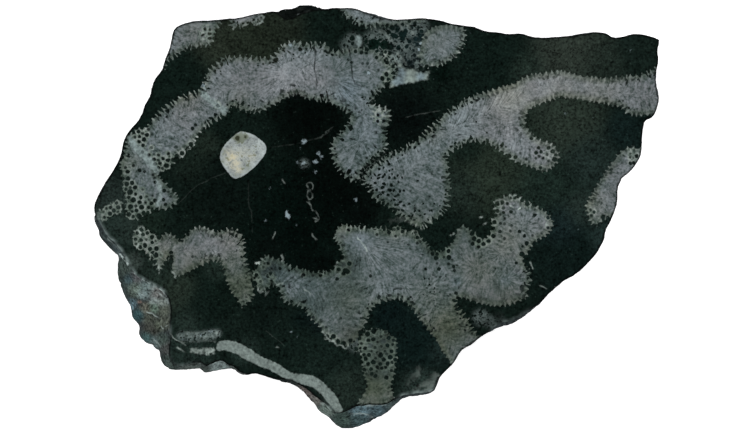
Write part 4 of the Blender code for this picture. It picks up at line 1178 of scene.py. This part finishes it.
def fill_flat(stone, height, grid_mm, up, kept=()):
    """Closes the open side at one height with a flat face of small triangles.

    Their corners are those of the side, the kept points and a grid between them."""
    edges = [edge for edge in stone.edges if edge.is_boundary]
    edges = [e for e in edges if all(abs(v.co.z - height) < RIM_TOLERANCE for v in e.verts)]
    rim = sorted({vert for edge in edges for vert in edge.verts}, key=lambda vert: vert.index)
    place = {vert: i for i, vert in enumerate(rim)}
    bounds = np.array([vert.co[:2] for vert in rim])
    points = [*(Vector(vert.co[:2]) for vert in rim), *kept]
    points += grid_points(bounds.min(axis=0), bounds.max(axis=0), grid_mm * MM, kept)
    links = [(place[edge.verts[0]], place[edge.verts[1]]) for edge in edges]
    inside = 1
    made = geometry.delaunay_2d_cdt(points, links, [], inside, SAME_POINT / 10)
    places, _, faces, origins = made[:4]
    verts = {}
    for face in faces:
        for i in face:
            if i not in verts:
                known = [origin for origin in origins[i] if origin < len(rim)]
                spot = (places[i].x, places[i].y, height)
                verts[i] = rim[known[0]] if known else stone.verts.new(spot)
        corners = [verts[i] for i in face]
        stone.faces.new(corners if up else reversed(corners))


def roughened(stone, top):
    """Gives the broken side its fine grain, kept within the solid's box."""
    stone.normal_update()
    low = Vector([min(vert.co[i] for vert in stone.verts) for i in range(3)])
    high = Vector([max(vert.co[i] for vert in stone.verts) for i in range(3)])
    bulges = patch_strengths(np.array([vert.co[:2] for vert in stone.verts]) / MM, BULGES)
    moves = []
    for vert, bulge in zip(stone.verts, bulges):
        below = (top - vert.co.z) / MM
        place = vert.co / MM
        if below < RIM_TOLERANCE / MM:
            chips = max(0.0, noise.noise(place / RIM_CHIP_MM) + RIM_CHIP_SHARE) * RIM_CHIP_DEPTH_MM
            outward = Vector((vert.normal.x, vert.normal.y, 0.0)).normalized()
            moves.append((vert, -outward * chips * MM))
        elif vert.co.z >= RIM_TOLERANCE:
            facets = min(FACET_MOST, noise.multi_fractal(place / FACET_MM, *FACET_OCTAVES))
            close = place / GRAIN_MM
            grain = noise.noise(close) + 0.5 * noise.noise(close * FINER_GRAIN)
            depth = FACET_DEPTH_MM * (facets - FACET_MIDDLE) + GRAIN_DEPTH_MM * grain
            fade = min(1.0, below / SIDE_FADE_MM) * min(1.0, vert.co.z / MM / SIDE_FADE_MM)
            moves.append((vert, -vert.normal * (depth - bulge) * fade * MM))
    for vert, move in moves:
        vert.co = [min(max(vert.co[i] + move[i], low[i]), high[i]) for i in range(3)]


def lookup_places(points):
    """Where each point of the stone looks for its colour on the polished face's plan, in mm.

    Below the face the coral's branches run on at a slant and wind a little."""
    below = SLAB_THICKNESS_MM - points[:, 2]
    drift = np.array(BRANCH_SLANT) * below[:, None]
    deep, across, deeper = BRANCH_TURNS
    turns = [np.sin(below * deep + points[:, 1] * across), np.cos(below * deeper)]
    wave = BRANCH_WAVE_MM * (np.stack(turns, axis=1) - [0, 1])
    return points[:, :2] + drift + wave * np.minimum(1, below / BRANCH_WAVE_START_MM)[:, None]


def add_numbers(mesh, name, values):
    """Stores one number for each point of the mesh, under a name that the material reads."""
    mesh.attributes.new(name, "FLOAT", "POINT").data.foreach_set("value", np.asarray(values, float))


def add_colours(mesh, name, values):
    colours = np.ones((len(values), 4))
    colours[:, :3] = values
    mesh.attributes.new(name, "FLOAT_COLOR", "POINT").data.foreach_set("color", colours.ravel())


def add_places(mesh, name, values):
    places = np.zeros((len(values), 3))
    places[:, : values.shape[1]] = values
    mesh.attributes.new(name, "FLOAT_VECTOR", "POINT").data.foreach_set("vector", places.ravel())


def add_lines(mesh, name, lines, points):
    """Stores how far to one side of the nearest thin line each point lies, and its strength."""
    curves = []
    for strength, width, corners in lines:
        curve = smooth_curve(corners, closed=False)
        strengths = np.full(len(curve), strength)
        strengths[[0, -1]] = 0.0
        sideways = left_of(unit(np.gradient(curve, axis=0)))
        curves.append((curve, sideways, np.full(len(curve), width * PIXEL_MM), strengths))
    places, sideways, widths, strengths = joined(curves)
    nearest, offset = side_distances(places, sideways, points)
    width = widths[nearest]
    within = np.abs(offset) < np.maximum(LINE_REACH_MM, LINE_REACH * width)
    strength = np.where(within, strengths[nearest], 0.0)
    add_numbers(mesh, name, np.clip(offset / width, -LINE_LIMIT, LINE_LIMIT))
    add_numbers(mesh, name + "_strength", strength * (1 - jumps(mesh, offset, points)))


def read(mesh_part, name, width, kind=float):
    """One property of every vertex, edge or face of a mesh, as rows of some width."""
    values = np.zeros(len(mesh_part) * width, kind)
    mesh_part.foreach_get(name, values)
    return values.reshape(-1, width)


def jumps(mesh, values, points=None):
    """1 at the points where a stored number jumps to the next point, and 0 elsewhere.

    With the points given, a jump is a change that is greater than the way between them."""
    starts, ends = read(mesh.edges, "vertices", 2, np.int32).T
    most = JUMP_MM
    if points is not None:
        most = JUMP_SHARE * np.linalg.norm(points[starts] - points[ends], axis=1)
    far = np.abs(values[starts] - values[ends]) > most
    seam = np.zeros(len(values))
    seam[starts[far]] = 1.0
    seam[ends[far]] = 1.0
    return seam


def rim_distances(mesh, points):
    """How far each point of the stone is from the polished face's edge, in mm."""
    top = points[:, 2] > points[:, 2].max() - SAME_HEIGHT_MM
    first, second = read(mesh.edges, "vertices", 2, np.int32).T
    rim = np.zeros(len(points), bool)
    rim[first[top[first] & ~top[second]]] = True
    rim[second[top[second] & ~top[first]]] = True
    _, distance = nearest_places(points[rim], points)
    return np.minimum(RIM_REACH_MM, distance)


def mark_stone(mesh):
    """Stores on the mesh where the coral, the calcite and the tints lie."""
    points = read(mesh.vertices, "co", 3) / MM
    plan = lookup_places(points)
    from_above = points[:, :2]
    add_places(mesh, "plan", plan)
    depth, along = outline_depths(CORAL.values(), plan)
    add_numbers(mesh, "coral_depth", np.clip(depth, *CORAL_DEPTHS_MM))
    add_numbers(mesh, "coral_along", along)
    add_numbers(mesh, "coral_seam", jumps(mesh, along))
    start, fibre, way, far = fibre_courses(plan)
    add_numbers(mesh, "fibre", fibre)
    add_numbers(mesh, "fibre_seam", jumps(mesh, start))
    add_places(mesh, "fibre_way", np.column_stack([way, far]))
    tubes, darkness = tube_depths(plan)
    add_numbers(mesh, "tubes", tubes)
    add_numbers(mesh, "tube_darkness", darkness)
    for name, (patches, fall, join) in PATCHES.items():
        add_numbers(mesh, name, patch_strengths(plan, patches, fall, join))
    warmth = patch_strengths(plan, WARMTH, join=np.add)
    add_numbers(mesh, "warmth", np.clip(warmth, -1.0, 1.0))
    for name, outlines in VEINS.items():
        vein_depth, _ = outline_depths(outlines, plan)
        add_numbers(mesh, name, np.clip(vein_depth, *VEIN_DEPTHS_MM))
    add_lines(mesh, "pale_line", PALE_LINES, plan)
    add_lines(mesh, "dark_line", DARK_LINES, plan)
    add_lines(mesh, "broken_line", BROKEN_LINES, from_above)
    add_colours(mesh, "matrix_tint", tinted_patches(plan, MATRIX_TINTS, MATRIX_REST))
    add_colours(mesh, "broken_tint_and_shade", tinted_patches(from_above, BROKEN_TINTS_AND_SHADE, BROKEN_REST))
    add_numbers(mesh, "rim", rim_distances(mesh, points))


def part_faces(mesh):
    """Gives the polished face, the broken side and the sawn underside their finishes."""
    middles = read(mesh.polygons, "center", 3) / MM
    flat = np.abs(read(mesh.polygons, "normal", 3)[:, 2]) > FLAT_SLOPE
    finish = np.full(len(middles), BROKEN)
    finish[flat & (middles[:, 2] > middles[:, 2].max() - SAME_HEIGHT_MM)] = POLISHED
    finish[flat & (middles[:, 2] < SAME_HEIGHT_MM)] = SAWN
    mesh.polygons.foreach_set("material_index", finish)
    mesh.polygons.foreach_set("use_smooth", finish == BROKEN)


class Stone:
    """The places and stored numbers that every part of the stone's material reads."""

    def __init__(self, graph):
        self.graph = graph
        self.place = graph.scaled(graph.place(), 1 / MM)
        self.plan = graph.attribute("plan", "Vector")
        self.depth = graph.attribute("coral_depth")
        self.along = graph.attribute("coral_along")
        self.honeycomb = graph.attribute("honeycomb")
        self.tubes = graph.attribute("tubes")
        self.calm = graph.attribute("calm")
        self.ghost_comb = graph.attribute("ghost_comb")
        self.bright_teeth = graph.attribute("bright_teeth")
        self.warmth = graph.attribute("warmth")
        self.broad = self.mottle(0.22, 2.0)
        self.coarse = self.mottle(0.6, 3.0)
        self.middle = self.mottle(1.7, 3.0)
        self.fine = self.mottle(2.9, 1.0)

    def mottle(self, scale, detail):
        """Soft noise, mostly between -1 and 1, of so many patches to a millimetre."""
        return (self.graph.noise(self.place, scale, detail) - 0.5) * MOTTLE_SPAN

    def mottled(self, **weights):
        """The mottles of the given names added up, each by its weight."""
        first, *others = [getattr(self, name) * weight for name, weight in weights.items()]
        return sum(others, first)


def tubes_at_border(stone):
    """The open tubes along the coral's border: dark notches with pale teeth between them."""
    lean = stone.mottled(broad=0.6, coarse=0.3)
    course = stone.along + lean * stone.depth + stone.coarse * 0.10
    edge, middle, chance = stone.graph.cells(course, 1 / TUBE_SPACING_MM, dimensions="1D")
    pointed = 1 - (middle * NOTCH_POINT[0]).highest(0.0).power(NOTCH_POINT[1])
    length = (chance * NOTCH_LONGER_MM + NOTCH_MM) * pointed * (1 + stone.bright_teeth * 0.7)
    notch = (length - stone.depth).rise(-EDGE_MM, EDGE_MM) * edge.rise(0.05, 0.13)
    teeth = edge.rise(0.32, 0.02)
    return notch, teeth


def slots_behind_border(stone):
    """Short dark slots a little further in, where tubes open sideways."""
    tube = stone.graph.vector(
        (stone.along + stone.broad * 0.6 * stone.depth) / TUBE_SPACING_MM,
        (stone.depth + stone.coarse * 0.3) / TUBE_LENGTH_MM,
    )
    edge, _, chance = stone.graph.cells(tube, irregular=0.9)
    zone = stone.depth.rise(*SLOTS_FROM_MM) * stone.depth.rise(*SLOTS_TO_MM)
    return (edge - 0.25).rise(-CELL_EDGE, CELL_EDGE) * chance.rise(0.40, 0.35) * zone


def honeycomb_cells(stone, place):
    """The honeycomb's dark holes, and how far each point is from the nearest wall."""
    edge, middle, chance = stone.graph.cells(place, 1 / HONEYCOMB_SPACING_MM, irregular=0.78)
    radius = 0.08 + 0.25 * stone.honeycomb + chance * 0.06
    outside = (middle - radius).highest(0.12 - edge)
    open_cell = (stone.honeycomb * 2.6 - 1.3 - chance).rise(-CELL_EDGE, CELL_EDGE)
    return outside.rise(CELL_EDGE, -CELL_EDGE) * open_cell, edge


def fine_pores(stone, place):
    """Small dark pores, most of them where the patches of pores and the coral's border are."""
    near = stone.depth.rise(1.7, 0.9) * (0.45 + stone.broad * 0.3)
    porous = stone.graph.attribute("pores").highest(near)
    _, middle, chance = stone.graph.cells(place, 1 / PORE_SPACING_MM, irregular=0.8)
    pore = (middle - 0.15 - 0.22 * porous).rise(0.06, -0.06)
    return pore * (porous * 1.4 - chance).rise(-CELL_EDGE, CELL_EDGE)


def ghost_walls(stone):
    """Faint strands and clouds of the coral's thin walls in the dark stone beside it."""
    clouds = stone.mottled(middle=0.7, coarse=0.6).rise(-0.2, 0.8)
    strands = stone.middle.size().rise(0.45, 0.08)
    ghost = (strands * 1.4).highest(clouds * 0.75) * (0.85 + stone.coarse * 0.7)
    return ghost * stone.ghost_comb


def coral_cut(stone):
    """The coral's share of the cut, and the share of dark mud in its tubes.

    Then the walls round its tubes and its teeth, and its ghost in the dark stone."""
    graph = stone.graph
    notch, teeth = tubes_at_border(stone)
    reach = teeth * (TOOTH_MM - stone.calm * CALM_TOOTH_MM) - BORDER_SHIFT_MM
    reach = reach + stone.mottled(coarse=0.10, middle=0.08)
    coral = (stone.depth + reach).rise(-EDGE_MM, EDGE_MM)
    uneven = stone.mottled(middle=0.15 + stone.ghost_comb * 0.25, fine=0.08)
    ring = (stone.tubes + uneven * 1.5).rise(-0.32, -0.20) * stone.honeycomb.rise(0.3, 0.5)
    ring = ring * (stone.honeycomb + stone.mottled(coarse=0.9, middle=0.5)).rise(0.35, 0.65)
    coral = coral.highest(ring)

    drift = graph.scaled(graph.vector(stone.coarse, stone.broad), 0.4)
    place = graph.vector_maths("ADD", {0: stone.plan, 1: drift})
    holes, wall_distance = honeycomb_cells(stone, place)
    listed = stone.tubes.rise(-1.5, -0.7)
    loose = 1 - listed
    open_tubes = (stone.tubes + uneven * 0.8).rise(-0.12, 0.03)
    open_tubes = open_tubes * graph.attribute("tube_darkness")
    calm = 1 - stone.calm
    closed = (1 - stone.honeycomb * 1.4).highest(0.0) * loose * calm
    mud = notch * (1 - stone.honeycomb * 0.7) * (1 - listed * 0.7) * (0.15 + calm * 0.85)
    mud = mud.highest(slots_behind_border(stone) * closed).highest(holes * loose)
    mud = mud.highest(fine_pores(stone, place) * closed).highest(open_tubes)

    rings = wall_distance.rise(0.26, 0.10) * loose
    rings = rings.highest(stone.tubes.rise(-0.50, -0.15) * listed)
    rings = rings * stone.honeycomb.rise(0.3, 0.7)
    pale_teeth = teeth * stone.depth.rise(0.9, 0.1) * (0.08 + stone.bright_teeth * 0.8)
    return coral, mud, (rings, pale_teeth), ghost_walls(stone) * (1 - open_tubes)


def coral_fibres(stone):
    """Fine streaks: square to the border near it, and spreading out from the spines further in."""
    graph = stone.graph
    bend = stone.depth * stone.depth * FIBRE_BEND
    course = graph.vector((stone.along + bend) * FIBRE_SCALE[0], stone.depth * FIBRE_SCALE[1])
    at_border = (graph.noise(course, 1.0) - 0.5) * (1 - graph.attribute("coral_seam"))
    x, y, far = graph.parts(graph.attribute("fibre_way", "Vector"))
    rays = graph.vector(x * FAN_RAYS, y * FAN_RAYS, far * FIBRE_SCALE[1])
    fibre = (graph.attribute("fibre") + stone.coarse * 0.16) * FIBRE_SCALE[0]
    spread = graph.noise(rays, 1.0, roughness=0.6, turn=fibre) - 0.5
    spread = spread * (1 - graph.attribute("fibre_seam"))
    inner = stone.depth.rise(0.5, 1.5)
    return (at_border * (1 - inner) + spread * inner) * MOTTLE_SPAN


def coral_colour(stone, walls):
    """The coral's greys with its fibres, its stains, its walls and its pale teeth."""
    graph = stone.graph
    outer = stone.depth.rise(1.6, 0.3)
    clear = graph.attribute("clear_fibres")
    light = stone.mottled(middle=0.48 - clear * 0.22, fine=0.42, coarse=0.24)
    light = (coral_fibres(stone) * (0.72 + clear * 0.30) + light) * (1 - stone.calm * 0.35)
    light = 1 + light + stone.broad * 0.14 - outer * 0.10
    grey = graph.blend(outer, CORAL_GREY, CORAL_RIM_GREY)
    grey = graph.blend(graph.attribute("olive") * 0.8, grey, CORAL_OLIVE_GREY)
    grey = graph.blend(stone.coarse * 0.3 + 0.4, grey, graph.tint(grey, CORAL_WARM))
    blue = 1 - stone.warmth.lowest(0.0) * 0.10
    grey = graph.tint(grey, graph.vector(1 + stone.warmth * 0.10, 1.0, blue))
    rings, teeth = walls
    grey = graph.blend(rings * 0.68, grey, graph.blend(stone.bright_teeth * 0.8, TUBE_WALL, TOOTH))
    grey = graph.blend(teeth * 0.8, grey, TOOTH)
    light = light.highest(0.15) * (1 + graph.attribute("coral_light") * 0.9)
    grey = graph.blend(light.rise(1.15, 0.5), grey, graph.tint(grey, CORAL_SHADE))
    return graph.scaled(grey, light)


def matrix_colour(stone):
    """The dark stone's tints, mottled, with fine pale dust."""
    graph = stone.graph
    light = 1 + stone.mottled(middle=0.5, fine=0.7, coarse=0.3)
    dust = (stone.mottled(fine=1.0, middle=0.6) - 0.75).rise(0.0, 0.9) * 0.30
    tint = graph.scaled(graph.attribute("matrix_tint", "Color"), light.highest(0.1))
    return graph.blend(dust, tint, DUST)


def calcite_colour(stone, colour):
    light = 1 + stone.mottled(middle=0.34, fine=0.36, coarse=0.14)
    return stone.graph.scaled(linear(colour), light)


def wedge_colour(stone):
    """The wedge's calcite, which is bluish where the coral beside it is."""
    graph = stone.graph
    colour = graph.blend(stone.warmth.rise(0.3, -0.9), WEDGE_COLOUR, WEDGE_BLUE)
    return graph.scaled(colour, 1 + stone.mottled(middle=0.6, coarse=0.5))


def white_patch_colour(stone):
    """Pale calcite with a tan stain in it, fine dark grains, and brown spots at its upper end."""
    graph = stone.graph
    plain = calcite_colour(stone, PATCH_COLOUR)
    plain = graph.scaled(plain, 1 + stone.mottled(coarse=0.32, middle=0.16))
    depth = graph.attribute("white_patch")
    grains = stone.mottled(fine=0.8, middle=1.1, coarse=0.3) - 0.15
    grains = grains.rise(0.0, 0.8) * depth.rise(0.4, 1.2)
    speckled = graph.blend(grains * 0.8, plain, PATCH_GREY)
    speckled = graph.blend(depth.rise(0.6, 0.1) * 0.36, speckled, PATCH_EDGE)
    stain = graph.attribute("patch_stain") * (0.75 + stone.mottled(middle=0.7, fine=0.5))
    stained = graph.blend(stain, speckled, PATCH_TAN)
    spots = graph.attribute("patch_spots") + stone.mottled(middle=0.25, fine=0.15)
    capped = graph.blend(spots.rise(0.05, 0.4) * 0.8, stained, PATCH_CAP)
    return graph.blend(spots.rise(0.55, 1.0) * 0.95, capped, PATCH_BROWN)


def line_share(stone, name):
    """How much of a thin line's colour shows: strongest in its middle, and broken along it."""
    strength = stone.graph.attribute(name + "_strength")
    course = stone.graph.attribute(name) + stone.mottled(middle=0.9, coarse=0.6)
    broken = (0.7 + stone.mottled(coarse=1.0, middle=0.6)).highest(0.0)
    return course.size().rise(1.5, 0.3) * strength * broken


def vein_share(stone, name, low, high, **uneven):
    """How much of a vein's colour shows from low to high depths, and how uneven its border is."""
    return (stone.graph.attribute(name) + stone.mottled(**uneven)).rise(low, high)


def cut_colour(stone):
    """The colours of the cut through the stone, and the coral's share of it."""
    graph = stone.graph
    coral, mud, walls, ghost = coral_cut(stone)
    cut = graph.blend(ghost * (0.8 + stone.middle * 0.6), matrix_colour(stone), GHOST_COLOUR)
    cut = graph.blend(coral * (1 - mud), cut, coral_colour(stone, walls))
    cut = graph.blend(line_share(stone, "pale_line") * 0.75, cut, PALE_LINE)
    cut = graph.blend(line_share(stone, "dark_line"), cut, MUD)
    specks = graph.attribute("specks")
    grain = (specks + stone.mottled(middle=0.25, fine=0.2)).rise(0.38, 0.9)
    cut = graph.blend(grain * specks.rise(0.1, 0.3), cut, SPECK_COLOUR)
    streak = vein_share(stone, "streaks", -0.15, 0.4, coarse=0.24, middle=0.22)
    streak_colour = calcite_colour(stone, STREAK_COLOUR)
    cut = graph.blend(streak * 0.9 * (1 - mud * 0.6), cut, streak_colour)
    wedge = vein_share(stone, "wedge", -0.16, 0.36, coarse=0.2, middle=0.24)
    cut = graph.blend(wedge, cut, wedge_colour(stone))
    band = vein_share(stone, "calcite", -0.12, 0.14, coarse=0.10, middle=0.14)
    cut = graph.blend(band, cut, calcite_colour(stone, BAND_COLOUR))
    patch = vein_share(stone, "white_patch", -0.09, 0.09, middle=0.04)
    return graph.blend(patch, cut, white_patch_colour(stone)), coral


def polished_material():
    """The polished face of the black limestone, with the coral and the calcite in it, and painted
    shade along its edge.
    """
    graph = Graph(bpy.data.materials.new("polished_coral_limestone"))
    stone = Stone(graph)
    cut, coral = cut_colour(stone)
    rim = graph.attribute("rim") + stone.middle * 0.08
    pale = graph.attribute("rim_pale")
    # Painted shade: a dark line along the face's edge, except where the edge is bruised pale
    rim_painted_shade = rim.rise(0.46, 0.12) * (0.85 - pale * 1.2).highest(0.0)
    cut = graph.blend(rim_painted_shade, cut, RIM_PAINTED_SHADE)
    bruise = rim.rise(0.75, 0.10) * pale * (0.6 + stone.mottled(middle=0.5, coarse=0.4))
    cut = graph.blend(bruise, cut, BRUISE)
    roughness = POLISHED_ROUGHNESS + coral * CORAL_ROUGHER + bruise * BRUISE_ROUGHER
    return graph.finished(Base_Color=cut, Roughness=roughness + stone.coarse * 0.015)


def broken_material():
    """The broken side: dull, hackly and stained, with painted light and shade on its facets, darkest
    where it is steep, and the coral showing faintly.
    """
    graph = Graph(bpy.data.materials.new("broken_coral_limestone"))
    stone = Stone(graph)
    cut, coral = cut_colour(stone)
    rough = graph.noise(stone.place, 1.1, 5.0, 0.62)
    relief = 1 + stone.mottled(middle=0.58, fine=0.7, coarse=0.3) + (rough - 0.5) * 2.8
    # Painted shade: the colour, which also rises and falls with the noise of the bump, is darkened
    # where the face is steep
    _, _, upward = graph.parts(graph.node("ShaderNodeNewGeometry", out="Normal"))
    relief = relief.highest(0.25) * (STEEP_PAINTED_SHADE + upward.rise(0.02, 0.22) * (1 - STEEP_PAINTED_SHADE))
    # The tints hold the stone's own greys and stains together with painted light and shade of the
    # facets
    tint = graph.scaled(graph.attribute("broken_tint_and_shade", "Color"), relief)
    colour = graph.blend(0.15 + coral * 0.24, tint, cut)
    colour = graph.blend(line_share(stone, "broken_line"), colour, BROKEN_VEIN)
    return graph.finished(
        Base_Color=colour,
        Roughness=BROKEN_ROUGHNESS + stone.middle * 0.05,
        Normal=graph.bump(0.9, BROKEN_BUMP_MM, rough + stone.middle * 0.12),
        Specular_IOR_Level=BROKEN_GLOSS,
    )


def sawn_material():
    """The dull sawn underside, with faint saw marks."""
    graph = Graph(bpy.data.materials.new("sawn_coral_limestone"))
    stone = Stone(graph)
    cut, _ = cut_colour(stone)
    x, y, _ = graph.parts(stone.place)
    across = x * SAW_ACROSS[0] + y * SAW_ACROSS[1] + stone.broad * 0.3
    course = graph.vector(across * SAW_MARKS_PER_MM, x * SAW_MARK_LENGTH)
    marks = graph.noise(course, 1.0) - 0.5
    colour = graph.blend(0.45, graph.scaled(cut, 0.85), SAWN_GREY)
    return graph.finished(
        Base_Color=graph.scaled(colour, 1 + marks * 0.3 + stone.fine * 0.08),
        Roughness=SAWN_ROUGHNESS + stone.coarse * 0.05,
        Normal=graph.bump(0.5, SAW_MARK_MM, marks + stone.fine * 0.1),
    )


def coral_slab(node):
    """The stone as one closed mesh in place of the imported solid."""
    stone, top = open_side(node)
    roughened(stone, top)
    fill_flat(stone, top, TOP_GRID_MM, up=True, kept=fine_points(TUBES))
    fill_flat(stone, 0.0, UNDER_GRID_MM, up=False)
    mesh = bpy.data.meshes.new("coral_slab_stone")
    stone.to_mesh(mesh)
    stone.free()
    mark_stone(mesh)
    for finish in (polished_material(), broken_material(), sawn_material()):
        mesh.materials.append(finish)
    part_faces(mesh)
    piece = bpy.data.objects.new("coral_slab_stone", mesh)
    bpy.context.scene.collection.objects.link(piece)
    return piece


def floor_material():
    """A pale floor that glows a little."""
    graph = Graph(bpy.data.materials.new("pale_floor"))
    mottle = graph.noise(graph.place(), 30.0, 3.0) - 0.5
    return graph.finished(
        Base_Color=graph.scaled(FLOOR_COLOUR, 1 + mottle * 0.02),
        Roughness=FLOOR_ROUGHNESS,
        Emission_Color=WHITE,
        Emission_Strength=FLOOR_GLOW,
    )


def studio_floor():
    """A pale floor just below the stone."""
    bpy.ops.mesh.primitive_plane_add(size=FLOOR_SIZE)
    floor = bpy.context.object
    floor.name = "floor"
    floor.location.z = -FLOOR_GAP
    floor.data.materials.append(floor_material())


def studio_sky():
    """A sky that is pale at the horizon and dim overhead."""
    graph = Graph(bpy.data.worlds.new("studio_sky"))
    _, _, height = graph.parts(graph.node("ShaderNodeTexCoord", out="Generated"))
    colour = graph.node("ShaderNodeValToRGB", {"color_ramp": SKY}, {"Fac": height})
    sky = graph.node("ShaderNodeBackground", values={"Color": colour})
    graph.node("ShaderNodeOutputWorld", values={"Surface": sky})
    bpy.context.scene.world = graph.owner


def studio_lamps():
    """Soft round lamps on all sides, aimed at the stone."""
    for name, azimuth, elevation, watts in LIGHTS:
        light = bpy.data.lights.new(name, "AREA")
        light.shape = "DISK"
        light.size = LIGHT_SIZE
        light.energy = watts
        lamp = bpy.data.objects.new(name, light)
        turn, rise = math.radians(azimuth), math.radians(elevation)
        level = math.cos(rise)
        towards = Vector((math.sin(turn) * level, -math.cos(turn) * level, math.sin(rise)))
        lamp.location = towards * LIGHT_DISTANCE
        lamp.rotation_euler = towards.to_track_quat("Z", "Y").to_euler()
        lamp.visible_camera = False
        bpy.context.scene.collection.objects.link(lamp)


def overhead_camera(top):
    """A camera straight above, framed as the photograph is."""
    scene = bpy.context.scene
    scene.view_settings.view_transform = "Standard"
    data = bpy.data.cameras.new("overhead")
    data.lens = CAMERA_LENS
    data.sensor_width = SENSOR_WIDTH
    data.clip_end = CAMERA_REACH
    camera = bpy.data.objects.new("overhead", data)
    width = PHOTO_SIZE[0] * PIXEL_MM * MM
    middle = to_mm(PHOTO_MIDDLE) * MM
    camera.location = (middle[0], middle[1], top + width * CAMERA_LENS / SENSOR_WIDTH)
    scene.collection.objects.link(camera)
    scene.camera = camera


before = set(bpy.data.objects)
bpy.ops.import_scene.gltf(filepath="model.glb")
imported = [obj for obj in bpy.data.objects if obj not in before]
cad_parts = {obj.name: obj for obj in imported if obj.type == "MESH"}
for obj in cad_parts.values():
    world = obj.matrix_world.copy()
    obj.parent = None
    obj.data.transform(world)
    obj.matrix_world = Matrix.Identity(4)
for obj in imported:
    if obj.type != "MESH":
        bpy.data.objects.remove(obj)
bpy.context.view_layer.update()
slab = coral_slab(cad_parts["coral_slab"])
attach(slab, "root")
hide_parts("coral_slab")
studio_floor()
studio_sky()
studio_lamps()
overhead_camera(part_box("coral_slab")[1].z)
